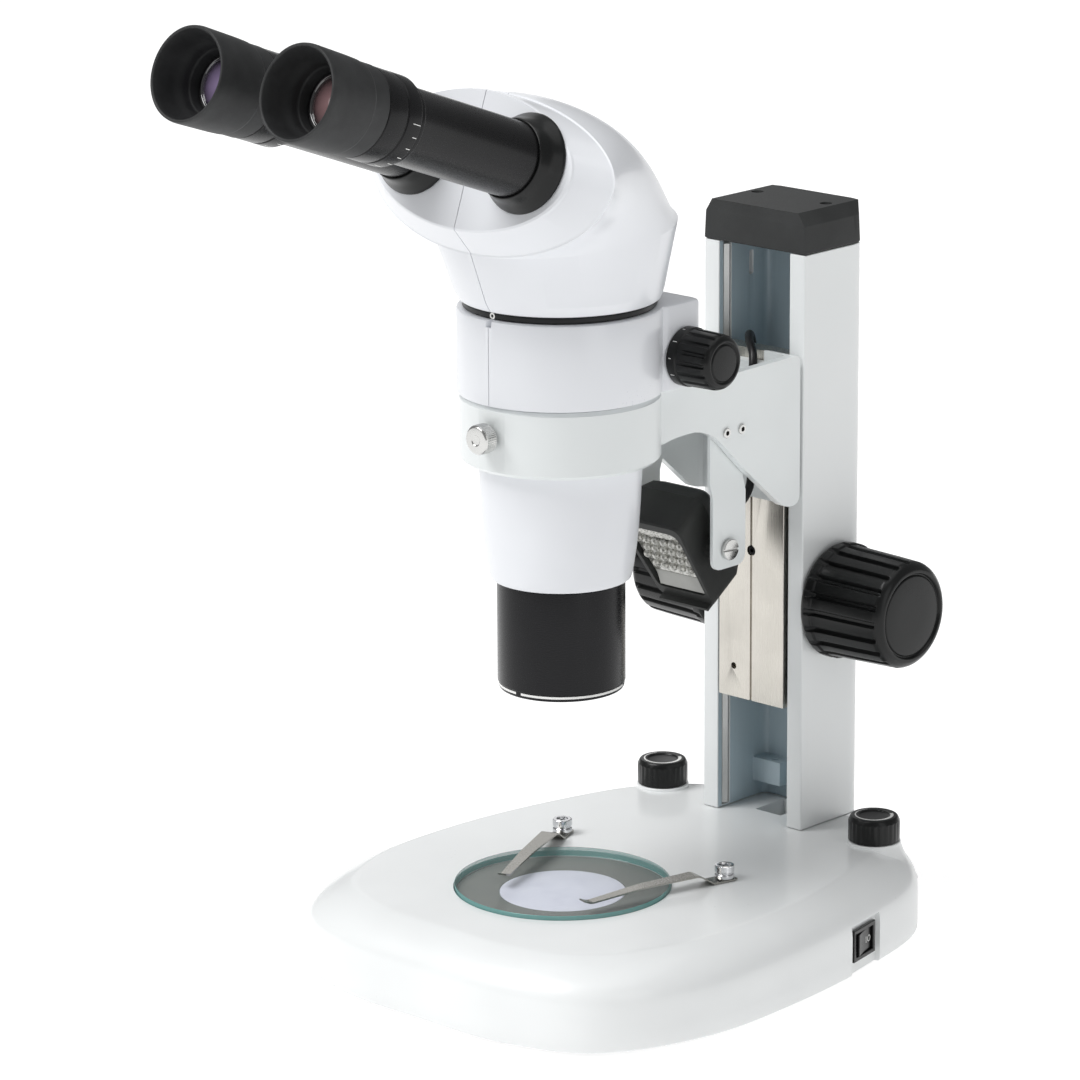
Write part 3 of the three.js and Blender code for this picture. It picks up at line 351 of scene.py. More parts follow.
# Lens array of the lamp: clear domes over bright reflectors.
def ledFinish():
    s = Shader("ledLensArray")
    cells = s.node("TexVoronoi", {}, {"Vector": s.place(), "Scale": 900.0}, out="Distance")
    cloud = s.noise(2.4, 3)
    colour = s.mix(s.spread(cells + cloud * 0.4, 0.3, 0.9, 0, 1), rgb(120, 119, 113), rgb(208, 207, 200))
    return s.finish(Base_Color=colour, Roughness=s.spread(cloud, 0.3, 0.7, 0.1, 0.2), Metallic=0.25,
                    Coat_Weight=0.9, Coat_Roughness=0.05, Normal=s.bump(cells, 0.05))


finishes = {
    "headPaint": paintFinish("headPaint", rgb(230, 232, 236), 0.32),
    "basePaint": paintFinish("basePaint", rgb(236, 238, 238), 0.32, 1.3, 0.002),
    "armPaint": paintFinish("armPaint", rgb(230, 234, 234), 0.34, 1.2, 0.002),
    "columnPaint": columnFinish(),
    "knobPlastic": plasticFinish("knobPlastic", rgb(22, 23, 23), 0.32, 0.5, 0.008, 0.2),
    "lampPlastic": plasticFinish("lampPlastic", rgb(50, 51, 50), 0.46, 0.7, 0.05, wear=0.1),
    "capPlastic": plasticFinish("capPlastic", rgb(56, 57, 57), 0.52, 0.8, 0.05, wear=0.06),
    "switchPlastic": plasticFinish("switchPlastic", rgb(24, 24, 25), 0.3, 0.6, 0.015, 0.4),
    "leadPlastic": plasticFinish("leadPlastic", rgb(26, 26, 27), 0.38, 0.8, 0.02, 0.2),
    "tubeBlack": anodisedFinish("tubeBlack", rgb(28, 28, 29), 0.28, (1, 0.3, 1)),
    "objectiveBlack": anodisedFinish("objectiveBlack", rgb(25, 25, 27), 0.27, (0.12, 0.12, 1)),
    "mountBlack": anodisedFinish("mountBlack", rgb(34, 35, 36), 0.36, (0.12, 0.12, 1)),
    "rubber": rubberFinish(),
    "footRubber": plasticFinish("footRubber", rgb(30, 30, 31), 0.7, 0.5, 0.04),
    "slideSteel": metalFinish("slideSteel", rgb(208, 204, 196), 0.27, (1, 1, 0.015), 0.35, 0.01),
    "clipSteel": metalFinish("clipSteel", rgb(176, 174, 168), 0.24, (1, 1, 1), 0.5),
    "plateSteel": metalFinish("plateSteel", rgb(190, 191, 190), 0.36, (0.03, 1, 1), 0.5),
    "screwSteel": metalFinish("screwSteel", rgb(214, 214, 212), 0.2, (1, 1, 1), 0.3),
    "chrome": metalFinish("chrome", rgb(228, 229, 231), 0.1, (1, 1, 1), 0.8, 0.004),
    "lampStrip": plasticFinish("lampStrip", rgb(178, 178, 174), 0.4, 0.5, 0.01),
    "brass": metalFinish("brass", rgb(196, 170, 104), 0.3, (1, 1, 0.2), 0.4),
    "seatRing": plasticFinish("seatRing", rgb(88, 85, 79), 0.55, 0.5, 0.01),
    "stageGlass": glassFinish(),
    "opalDiffuser": opalFinish(),
    "ledLensArray": ledFinish(),
    "circuitBoard": boardFinish(),
    "printWhite": plasticFinish("printWhite", rgb(232, 232, 230), 0.5, 0.3, 0.004),
    "socketBlack": plasticFinish("socketBlack", rgb(14, 14, 15), 0.5, 0.4, 0.01),
}
print("finishes made:", len(finishes))


def keepBody(piece, body, *replaced):
    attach(piece, body)
    if replaced:
        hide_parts(*replaced)
    return piece


def newPiece(name, points, faces, finish, place=None):
    mesh = bpy.data.meshes.new(name)
    place = place or axisFrame
    mesh.from_pydata([place @ Vector(p) for p in points], [], faces)
    mesh.validate()
    piece = bpy.data.objects.new(name, mesh)
    bpy.context.scene.collection.objects.link(piece)
    mesh.materials.append(finishes[finish])
    work = bmesh.new()
    work.from_mesh(mesh)
    bmesh.ops.remove_doubles(work, verts=work.verts, dist=1e-6)
    bmesh.ops.recalc_face_normals(work, faces=work.faces)
    work.to_mesh(mesh)
    work.free()
    return piece


def smooth(piece, angle=32):
    piece.data.polygons.foreach_set("use_smooth", [True] * len(piece.data.polygons))
    piece.data.set_sharp_from_angle(angle=math.radians(angle))
    return piece


# Rounds a piece's edges, so that they catch the light.
def eased(piece, width, angle=32, segments=2):
    bevel = piece.modifiers.new("easedEdges", "BEVEL")
    bevel.width, bevel.segments, bevel.limit_method = width * mm, segments, "ANGLE"
    bevel.angle_limit = math.radians(angle)
    bevel.harden_normals = True
    bevel.use_clamp_overlap = True
    bevel.miter_outer = "MITER_ARC"
    return smooth(piece, angle)


def applied(piece):
    made = bpy.data.meshes.new_from_object(piece.evaluated_get(bpy.context.evaluated_depsgraph_get()))
    made.name = piece.data.name
    piece.modifiers.clear()
    piece.data = made
    return piece


def combined(piece, operation, *tools):
    for tool in tools:
        step = piece.modifiers.new("solid", "BOOLEAN")
        step.object, step.operation, step.solver = tool, operation, "EXACT"
        step.material_mode = "INDEX"
        bpy.context.view_layer.update()
        applied(piece)
        bpy.data.objects.remove(tool)
    return piece


# A frame whose +Z is a piece's own axis, from millimetres to metres.
def upright(x, y, z):
    return Matrix.Translation(fromAxis(x, y, z)) @ Matrix.Scale(mm, 4)


def sideways(side, x, y, z):
    return upright(x, y, z) @ turned("Y", side * math.pi / 2)


def towardsUser(x, y, z):
    return upright(x, y, z) @ turned("X", math.pi / 2)


axisFrame = upright(0, 0, 0)
sideTurn = Matrix(((0, 0, 1, 0), (1, 0, 0, 0), (0, 1, 0, 0), (0, 0, 0, 1)))   # outline in Y-Z, thickness along X


# Corners given a third number are rounded to that radius.
def roundedLine(corners, closed=False, steps=4):
    line = []
    count = len(corners)
    for i, corner in enumerate(corners):
        here = Vector(corner[:2])
        radius = corner[2] if len(corner) > 2 else 0
        if not radius or (not closed and i in (0, count - 1)):
            line.append(here)
            continue
        before = Vector(corners[i - 1][:2]) - here
        after = Vector(corners[(i + 1) % count][:2]) - here
        radius = min(radius, before.length * 0.49, after.length * 0.49)
        start, end = here + before.normalized() * radius, here + after.normalized() * radius
        for k in range(steps + 1):
            t = k / steps
            line.append(start * (1 - t) ** 2 + here * (2 * t * (1 - t)) + end * t ** 2)
    return line


def loftPoints(name, sections, finish, place=None, closedLoop=False):
    count = len(sections[0])
    points = [p for section in sections for p in section]
    faces = []
    rows = len(sections)
    for s in range(rows if closedLoop else rows - 1):
        t = (s + 1) % rows
        for i in range(count):
            j = (i + 1) % count
            faces.append((s * count + i, s * count + j, t * count + j, t * count + i))
    if not closedLoop:
        faces.append(tuple(range(count))[::-1])
        faces.append(tuple((rows - 1) * count + i for i in range(count)))
    return newPiece(name, points, faces, finish, place)


# A turned piece: profile of (radius, height, corner radius). It is closed on itself when it is a ring.
def turnedPiece(name, profile, finish, place=None, segments=96, ring=False, steps=3, reach=None):
    shape = reach or (lambda angle, radius, z: radius)
    angles = [2 * math.pi * i / segments for i in range(segments)]
    sections = []
    for r, z in roundedLine(profile, ring, steps):
        radii = [shape(a, max(r, 0.001), z) for a in angles]
        sections.append([(radius * math.cos(a), radius * math.sin(a), z) for a, radius in zip(angles, radii)])
    return loftPoints(name, sections, finish, place, ring)


# Knurling and flutes as a share of the radius cut away around the piece.
def fluted(count, depth, crest, low, high, ease=1.2):
    def reach(angle, r, z):
        along = min(1, max(0, (z - low) / ease)) * min(1, max(0, (high - z) / ease))
        turn = (angle / (2 * math.pi) * count) % 1
        across = max(0, (abs(turn - 0.5) * 2 - crest) / (1 - crest))
        return r - depth * along * math.sin(min(1, across * 1.6) * math.pi / 2)
    return reach


def extruded(name, corners, low, high, finish, place=None):
    line = roundedLine(corners, True)
    sections = [[(x, y, z) for x, y in line] for z in (low, high)]
    return loftPoints(name, sections, finish, place)


def rectangle(x0, y0, x1, y1):
    return [(x0, y0), (x1, y0), (x1, y1), (x0, y1)]


def boxPiece(name, low, high, finish, place=None):
    return extruded(name, rectangle(*low[:2], *high[:2]), low[2], high[2], finish, place)


# A short flat line of print that stands a little proud of the surface that it marks.
def printedTick(name, low, high, width, inner, outer, place):
    return extruded(name, rectangle(-width, low, width, high), inner, outer, "printWhite", place @ sideTurn)


# A CAD node's own solid with its edges eased, in place of the plain one.
def refined(node, finish, width=0.3, angle=30, segments=2):
    work = bmesh.new()
    work.from_mesh(nodes[node].data)
    bmesh.ops.remove_doubles(work, verts=work.verts, dist=2e-6)
    bmesh.ops.dissolve_limit(work, angle_limit=math.radians(0.6), verts=work.verts, edges=work.edges)
    mesh = bpy.data.meshes.new(node + "_fine")
    work.to_mesh(mesh)
    work.free()
    mesh.materials.append(finishes[finish])
    piece = bpy.data.objects.new(node + "_fine", mesh)
    bpy.context.scene.collection.objects.link(piece)
    eased(piece, width, angle, segments)
    return keepBody(piece, bodyOf[node], node)


# The skin's rings give a height, the share of the way from foot outline to deck outline, and an inset.
base = {"top": 42, "glass": 50, "well": 46,
        "foot": ((0, -97), (50, -95), (91, -77), (113, -28), (115, 30), (107, 96), (91, 147.5), (53, 178), (0, 183)),
        "deck": ((0, -79), (40, -77.5), (74, -62), (94, -26), (98, 28), (89, 90), (72, 138), (44, 163), (0, 168)),
        "skin": ((3, 0, 1), (3.4, 0, 0.4), (4.2, 0, 0), (12, 0, 0), (20, 0, 0), (22, 0, 0), (24, 0.008, 0),
                 (26, 0.02, 0), (27.5, 0.042, 0), (29, 0.07, 0), (30.5, 0.115, 0), (32, 0.17, 0),
                 (33.5, 0.243, 0), (35, 0.33, 0), (36.5, 0.438, 0), (38, 0.56, 0), (39.2, 0.675, 0),
                 (40.3, 0.8, 0), (41.2, 0.9, 0), (41.8, 0.975, 0), (42, 1, 0.8), (42, 1, 2.4))}
dimmer = {"x": 66.8, "y": 144.3, "boss": 43.4, "radius": 12.2, "height": 12, "flutes": 26}
switch = {"place": (107.2, 89, 16.4), "turn": math.radians(11.3), "seat": -1.6, "tilt": math.radians(8)}
clip = {"x": 51, "y": 55}
column = {"cap": 340.8, "plan": ((-30.7, 133.4, 0.8), (30.7, 133.4, 0.8), (30.7, 178.2, 9), (-30.7, 178.2, 9))}


# A point and its direction on the centripetal curve from b to c, with a and d as the points around them.
def curvePoint(a, b, c, d, t):
    spans = [max(1e-4, (q - p).length ** 0.5) for p, q in ((a, b), (b, c), (c, d))]
    first = ((b - a) / spans[0] - (c - a) / (spans[0] + spans[1]) + (c - b) / spans[1]) * spans[1]
    last = ((c - b) / spans[1] - (d - b) / (spans[1] + spans[2]) + (d - c) / spans[2]) * spans[1]
    bend, rise = 2 * b - 2 * c + first + last, -3 * b + 3 * c - 2 * first - last
    return b + first * t + rise * t * t + bend * t ** 3, first + 2 * rise * t + 3 * bend * t * t


# A closed smooth curve through both halves of an outline, moved inwards by an inset.
def outline(half, z, inset, samples=144):
    points = [Vector(c) for c in half] + [Vector((-x, y)) for x, y in reversed(half[1:-1])]
    count = len(points)
    line = []
    for i in range(samples):
        share = i / samples * count
        at, t = int(share) % count, share - int(share)
        here, along = curvePoint(*(points[(at + k) % count] for k in (-1, 0, 1, 2)), t)
        along.normalize()
        line.append((here.x - along.y * inset, here.y + along.x * inset, z))
    return line


def betweenOutlines(z, share, inset):
    low, high = outline(base["foot"], z, inset), outline(base["deck"], z, inset)
    return [tuple(a + (b - a) * share for a, b in zip(p, q)) for p, q in zip(low, high)]


# A plain round bar, used as a drill or cutter.
def bar(radius, low, high, place=None, segments=96, finish="basePaint"):
    return turnedPiece("bar", [(0, low), (radius, low), (radius, high), (0, high)], finish, place, segments)


def addBase():
    well, glass, boss = base["well"], base["glass"], dimmer["boss"]
    shell = loftPoints("base_casting_fine", [betweenOutlines(*ring) for ring in base["skin"]], "basePaint")
    inner = [betweenOutlines(2, 0, 5), betweenOutlines(19, 0, 6), betweenOutlines(36, 1, 3)]
    combined(shell, "DIFFERENCE", loftPoints("hollow", inner, "basePaint"))
    wallLine = [(well, 10), (well + 6, 10), (well + 6, 41), (well, 41)]
    added = [turnedPiece("wellWall", wallLine, "basePaint", ring=True),
             extruded("columnSeat", column["plan"], 22, base["top"] - 0.03, "basePaint"),
             boxPiece("switchBlock", (-14, -15, -11.4), (-1.5, 15, 10.6), "basePaint", switchPlace)]
    bossLine = [(0, 25), (21, 25), (18.2, 30, 8), (14.2, 38, 9), (12.9, 41.8, 3), (12.6, boss, 0.6), (0, boss)]
    cut = [bar(well, 1, 50), bar(glass + 0.5, 36.9, 50, segments=144),
           boxPiece("switchSeat", (switch["seat"], -13, -14.4), (8, 13, 10.6), "basePaint", switchPlace),
           boxPiece("switchHole", (-20, -9.3, -6.8), (8, 9.3, 6.8), "basePaint", switchPlace),
           boxPiece("powerHole", (-26.4, 160, 8.8), (-11.6, 195, 21.2), "basePaint"),
           boxPiece("cableHole", (-8, 145.4, 3), (8, 166.5, 43), "basePaint")]
    for name, side in sides:
        dimmerPlace = upright(side * dimmer["x"], dimmer["y"], 0)
        added.append(turnedPiece("boss", bossLine, "basePaint", dimmerPlace, steps=5))
        cut.append(bar(3.2, 12, 60, dimmerPlace, 24))
        cut.append(bar(1.7, 20, 60, upright(side * clip["x"], clip["y"], 0), 16))
    combined(shell, "UNION", *added)
    combined(shell, "DIFFERENCE", *cut)
    eased(shell, 0.5, 38)
    keepBody(shell, bodyOf["base_casting"], "base_casting")
    refined("bottom_plate", "plateSteel", 0.3)
    footLine = [(0, 0), (5.6, 0), (6.2, 0.5), (8.4, 0.5, 0.4), (8.9, 2.7, 0.4), (0, 2.7)]
    for corner in ("front_left", "front_right", "rear_left", "rear_right"):
        low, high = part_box("foot_" + corner)
        place = upright((low.x + high.x) / 2 / mm, (low.y + high.y) / 2 / mm - axisY, 0)
        foot = turnedPiece("foot_" + corner + "_fine", footLine, "footRubber", place, 48)
        keepBody(smooth(foot), "stand", "foot_" + corner)


def addStageGlass():
    glassLow, edge = glassTop - 4.5, base["glass"]
    glassLine = [(0, glassLow), (edge, glassLow, 0.5), (edge, glassTop, 0.5), (0, glassTop)]
    plate = turnedPiece("stage_glass_fine", glassLine, "stageGlass", segments=160)
    keepBody(smooth(plate), "stand", "stage_glass")
    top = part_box("stage_seat")[1].z / mm
    low = top - 2
    seatLine = [(29.4, low), (49.9, low), (49.9, top, 0.3), (29.4, top, 0.3)]
    seat = turnedPiece("stage_seat_fine", seatLine, "seatRing", segments=144, ring=True)
    keepBody(smooth(seat), "stand", "stage_seat")
    opalLine = [(0, low), (29.1, low), (29.1, top, 0.3), (0, top)]
    opal = turnedPiece("diffuser_fine", opalLine, "opalDiffuser", segments=120)
    keepBody(smooth(opal), "stand", "diffuser")
    refined("led_board", "circuitBoard", 0.2)


def addClips():
    for name, side in sides:
        refined("stage_clip_" + name, "clipSteel", 0.12, 40)
        place = upright(side * clip["x"], clip["y"], 42.3)
        line = [(0, -12), (1.3, -12), (1.3, 1.2), (4.6, 1.2, 0.3), (4.6, 2.8, 0.2), (4.0, 3.4, 0.2),
                (4.0, 3.8, 0.2), (4.6, 4.3, 0.2), (4.6, 7.4, 0.5), (2.7, 7.4, 0.2), (2.5, 6.9, 0.2), (0, 6.9)]
        knurl = fluted(24, 0.22, 0.2, 4.3, 6.8, 0.3)
        screw = turnedPiece("clip_screw_" + name + "_fine", line, "chrome", place, 144, reach=knurl)
        slots = [extruded("slot", rectangle(-2.7, -0.5, 2.7, 0.5), 6.2, 9, "chrome", place @ turned("Z", turn))
                 for turn in (0.3, 0.3 + math.pi / 2)]
        combined(screw, "DIFFERENCE", *slots)
        keepBody(smooth(screw), bodyOf["clip_screw_" + name], "clip_screw_" + name)


# Fluted knobs with a tapering wedge printed round the top.
def addDimmers():
    for name, side in sides:
        place = upright(side * dimmer["x"], dimmer["y"], dimmer["boss"] + 0.3)
        r, h = dimmer["radius"], dimmer["height"]
        line = [(0, -18), (2.6, -18), (2.6, 0), (r, 0, 0.4), (r, h - 2.4, 0.3), (r - 0.9, h - 0.5, 0.7),
                (r - 1.4, h, 0.4), (7.4, h, 0.3), (7.0, h - 0.7, 0.3), (0, h - 0.7)]
        flutes = fluted(dimmer["flutes"], 0.55, 0.42, 1.6, h - 2.2, 1.0)
        knob = turnedPiece("dimmer_knob_" + name + "_fine", line, "knobPlastic", place, 312, reach=flutes)
        keepBody(smooth(knob, 40), bodyOf["dimmer_knob_" + name], "dimmer_knob_" + name)
        steps = 44
        wedge, faces = [], []
        for i in range(steps + 1):
            t = i / steps
            angle = math.radians(-210 + 265 * t)
            for radius in (9.2, 8.9 - 1.3 * t):
                wedge.append((radius * math.cos(angle), radius * math.sin(angle), h + 0.03))
            if i < steps:
                faces.append((2 * i, 2 * i + 2, 2 * i + 3, 2 * i + 1))
        scale = newPiece("dimmer_scale_" + name, wedge, faces, "printWhite", place)
        scale.modifiers.new("print", "SOLIDIFY").thickness = 0.04 * mm
        keepBody(scale, bodyOf["dimmer_knob_" + name])


switchPlace = upright(*switch["place"]) @ turned("Z", switch["turn"])


def addSwitch():
    refined("switch_frame", "switchPlastic", 0.4)
    refined("switch_rocker", "switchPlastic", 0.35)
    face = switchPlace @ shifted(switch["seat"] - 0.8, 0, 0) @ turned("Z", switch["tilt"])
    face = face @ shifted(2.02, 0, 0) @ turned("Z", -0.081) @ sideTurn   # onto the rocker's own surface
    onMark = extruded("rocker_mark_on", rectangle(1.9, -1.5, 2.35, 1.5), 0, 0.09, "printWhite", face)
    ringLine = [(1.2, 0), (1.6, 0), (1.6, 0.09), (1.2, 0.09)]
    offMark = turnedPiece("rocker_mark_off", ringLine, "printWhite", face @ shifted(5, 0, 0), 36, ring=True)
    for mark in (onMark, offMark):
        keepBody(mark, bodyOf["switch_rocker"])
    refined("power_inlet", "switchPlastic", 0.35)


focus = {"y": 157.5, "z": 152.2, "inner": 31.5, "flutes": 20}
slide = {"front": 132.2, "screw": 175}


# A screw head with a hex socket or a cross.
def screwHead(name, place, radius, height, drive, finish="screwSteel", body="stand"):
    line = [(0, -1), (radius * 0.7, -1), (radius, 0, 0.1), (radius, height, 0.35), (0, height)]
    screw = turnedPiece(name, line, finish, place, 48)
    cuts = []
    if drive == "hex":
        key = radius * 0.52
        corners = [(key * math.cos(math.pi * k / 3), key * math.sin(math.pi * k / 3)) for k in range(6)]
        cuts.append(extruded("cut", corners, height - 1.1, height + 1, finish, place))
        if finish != "socketBlack":
            keepBody(extruded(name + "_socket", corners, height - 1.3, height - 0.8, "socketBlack", place), body)
    else:
        half, thin = radius * 0.62, radius * 0.13
        for turn in (0.5, 0.5 + math.pi / 2):
            blade = rectangle(-half, -thin, half, thin)
            cuts.append(extruded("cut", blade, height - 0.8, height + 1, finish, place @ turned("Z", turn)))
    combined(screw, "DIFFERENCE", *cuts)
    return keepBody(smooth(screw), body)


def addColumn():
    refined("column", "columnPaint", 0.5, 35)
    refined("column_cap", "capPlastic", 0.5, 25, 2)
    for name, side in sides:
        refined("guide_rail_" + name, "plateSteel", 0.15)
        screwHead("cap_screw_" + name, upright(side * 21, 160, column["cap"] - 3.2), 2.7, 1.6, "cross")


def addFocusDrive():
    refined("slide_plate", "slideSteel", 0.25, 35)
    refined("focus_rack", "brass", 0.1, 40)
    refined("pinion_shaft", "plateSteel", 0.12, 40)
    screwPlace = towardsUser(0, slide["front"] + 1.2, slide["screw"])
    screwHead("slide_screw", screwPlace, 2.2, 0.7, "hex", "socketBlack", "carriage")
    grip = [(0, 0), (25.6, 0, 0.4), (26.9, 0.6, 0.4), (27.7, 2, 0.6), (27.7, 6.4, 0.5), (26.9, 7.0, 0.3),
            (26.5, 12), (26.0, 30), (25.5, 42.6, 0.8), (24.4, 44.8, 1.2), (22.2, 46.5, 0.8), (20.6, 46.6, 0.3),
            (20.0, 45.2, 0.3), (19.4, 45.2, 0.3), (18.9, 45.9, 0.4), (12, 46.4, 5), (0, 46.5)]
    flutes = fluted(focus["flutes"], 2.1, 0.58, 4.9, 43.6, 0.9)
    for name, side in sides:
        place = sideways(side, side * focus["inner"], focus["y"], focus["z"])
        knob = turnedPiece("focus_knob_" + name + "_fine", grip, "knobPlastic", place, 480, reach=flutes, steps=4)
        keepBody(smooth(knob, 40), bodyOf["focus_knob_" + name], "focus_knob_" + name)


arm = {"screwY": (79.5, 90.2), "screwZ": 247, "half": 30, "clampZ": 263.6}
lamp = {"y": 84.2, "z": 190.5, "lean": 35, "pitch": (5.2, 5.6), "front": -15}
leadRoute = [(10, 86.4, 192), (10, 95, 198), (10, 105, 201.6), (10, 114, 204.4), (9.5, 120.6, 212),
             (9, 121.5, 246), (9.2, 121.6, 262), (6, 126, 272), (-2, 132.5, 276.4), (-9, 140.8, 277.4),
             (-13, 147.4, 271.6), (-14, 149, 258), (-14, 149, 244)]


def addArm():
    refined("arm", "armPaint", 0.9, 28, 3)
    for name, side in sides:
        for i, y in enumerate(arm["screwY"]):
            place = sideways(side, side * arm["half"], y, arm["screwZ"])
            screwHead(f"arm_screw_{name}_{i + 1}", place, 2.4, 0.9, "hex", body="carriage")
    thumb = [(0, 39.6), (2.9, 39.6), (2.9, 46.4), (4.8, 46.4, 0.2), (4.8, 48.2, 0.2), (6.3, 48.2, 0.2),
             (6.8, 48.8, 0.2), (6.8, 54, 0.3), (6.0, 55.2, 0.5), (2.6, 55.4, 0.3), (2.2, 55.0, 0.2), (0, 55.0)]
    knurl = fluted(48, 0.22, 0.1, 48.7, 54.3, 0.3)
    screw = turnedPiece("clamp_screw_fine", thumb, "screwSteel", towardsUser(0, 0, arm["clampZ"]), 192, reach=knurl)
    keepBody(smooth(screw), bodyOf["clamp_screw"], "clamp_screw")


def addLamp():
    refined("lamp_bracket", "armPaint", 0.35, 30)
    refined("lamp_housing", "lampPlastic", 0.7, 25, 3)
    place = upright(0, lamp["y"], lamp["z"]) @ turned("X", math.radians(lamp["lean"]))
    plate = refined("lamp_lens", "ledLensArray", 0.15, 30)
    domes = []
    for row in range(4):
        across = 6 if row % 2 else 5
        for i in range(across):
            domes.append(((i - (across - 1) / 2) * lamp["pitch"][0], (row - 1.5) * lamp["pitch"][1] + 3))
    domeLine = [(0, 2.3), (0.9, 2.1), (1.8, 1.5), (2.3, 0.7), (2.45, 0), (2.45, -0.5), (0, -0.5)]
    for k, (x, z) in enumerate(domes):
        domePlace = place @ shifted(x, lamp["front"] + 2.6, z) @ turned("X", math.pi / 2)
        dome = turnedPiece(f"led_dome_{k + 1}", domeLine, "ledLensArray", domePlace, 24)
        dome.parent = plate
        smooth(dome, 60)
    stripLine = [(-12.5, -10.6, 0.4), (-14.5, -19.2, 0.4), (-12.5, -19.2)]
    strip = extruded("lamp_strip", stripLine, -13.6, 13.6, "lampStrip", place @ sideTurn)
    keepBody(eased(strip, 0.2), bodyOf["lamp_lens"])
    pivotLine = [(0, 12), (1.6, 12), (1.6, 27.7), (5, 27.7, 0.2), (5, 29.6, 0.5), (0, 29.7)]
    for name, side in sides:
        pivotPlace = place @ turned("Y", side * math.pi / 2)
        pivot = turnedPiece("lamp_pivot_" + name + "_fine", pivotLine, "screwSteel", pivotPlace, 64)
        slot = rectangle(-6, -0.55, 6, 0.55)
        combined(pivot, "DIFFERENCE", extruded("slot", slot, 28.7, 32, "screwSteel", pivotPlace @ turned("Z", 0.9)))
        keepBody(smooth(pivot), bodyOf["lamp_pivot_" + name], "lamp_pivot_" + name)


zoom = {"y": 39.5, "z": 292, "radius": 46.6, "bottom": 277.3, "top": 316.6, "half": 40.1, "back": 51,
        "join": 26, "knob": 40.9, "flutes": 16, "ticks": 9}
objective = {"radius": 29.25, "bottom": 138.4, "top": 189.4}


def addBarrel():
    barrelLine = [(30.6, 190.2), (31.8, 190.2, 0.6), (32.5, 192, 1), (33.2, 196, 3), (34.9, 207, 8),
                  (36.4, 226, 12), (37.2, 246), (37.3, 276), (39.5, 278.4), (39.5, 282), (36, 282),
                  (35.4, 276), (33, 226), (29.6, 195), (26, 194), (26, 190.2)]
    barrel = turnedPiece("optics_barrel_fine", barrelLine, "headPaint", segments=144, ring=True, steps=4)
    keepBody(smooth(barrel), "scope", "optics_barrel")
    r, low, high = objective["radius"], objective["bottom"], objective["top"]
    tubeLine = [(24, low + 1.5, 0.3), (26.4, low, 0.4), (r - 1, low, 0.5), (r - 0.5, low + 0.9, 0.3),
                (r - 0.5, low + 3.0, 0.2), (r, low + 3.4, 0.2), (r, high, 0.5), (25.4, high),
                (25.4, high + 4), (22, high + 4), (22, low + 5), (24, low + 5)]
    tube = turnedPiece("objective_fine", tubeLine, "objectiveBlack", segments=144, ring=True)
    keepBody(smooth(tube), "scope", "objective")
    # Three light lines run round the step at its lower end.
    line = [(r - 0.44, low + 1.5), (r - 0.36, low + 1.6), (r - 0.36, low + 2.5), (r - 0.44, low + 2.6)]
    for k in range(3):
        points, faces, steps = [], [], 40
        for i in range(steps + 1):
            angle = math.radians(-90 + 120 * k + 3 + 114 * i / steps)
            points += [(radius * math.cos(angle), radius * math.sin(angle), z) for radius, z in line]
            if i < steps:
                a = 4 * i
                faces += [(a + j, a + 4 + j, a + 4 + (j + 1) % 4, a + (j + 1) % 4) for j in range(4)]
        faces += [(3, 2, 1, 0), (4 * steps, 4 * steps + 1, 4 * steps + 2, 4 * steps + 3)]
        keepBody(smooth(newPiece(f"objective_line_{k + 1}", points, faces, "printWhite")), "scope")
    glassLine = [(0, low + 5.6), (8, low + 5.9), (15, low + 6.8), (21.6, low + 8.4), (21.6, low + 13), (0, low + 13)]
    keepBody(smooth(turnedPiece("objective_lens_fine", glassLine, "frontLens")), "scope", "objective_lens")


# One side of the microscope above the lamp, less half of the seam.
def halfBox(side):
    x0, x1 = (0.2, 130) if side > 0 else (-130, -0.2)
    return boxPiece("half", (x0, -130, 100), (x1, 130, 460), "knobPlastic")


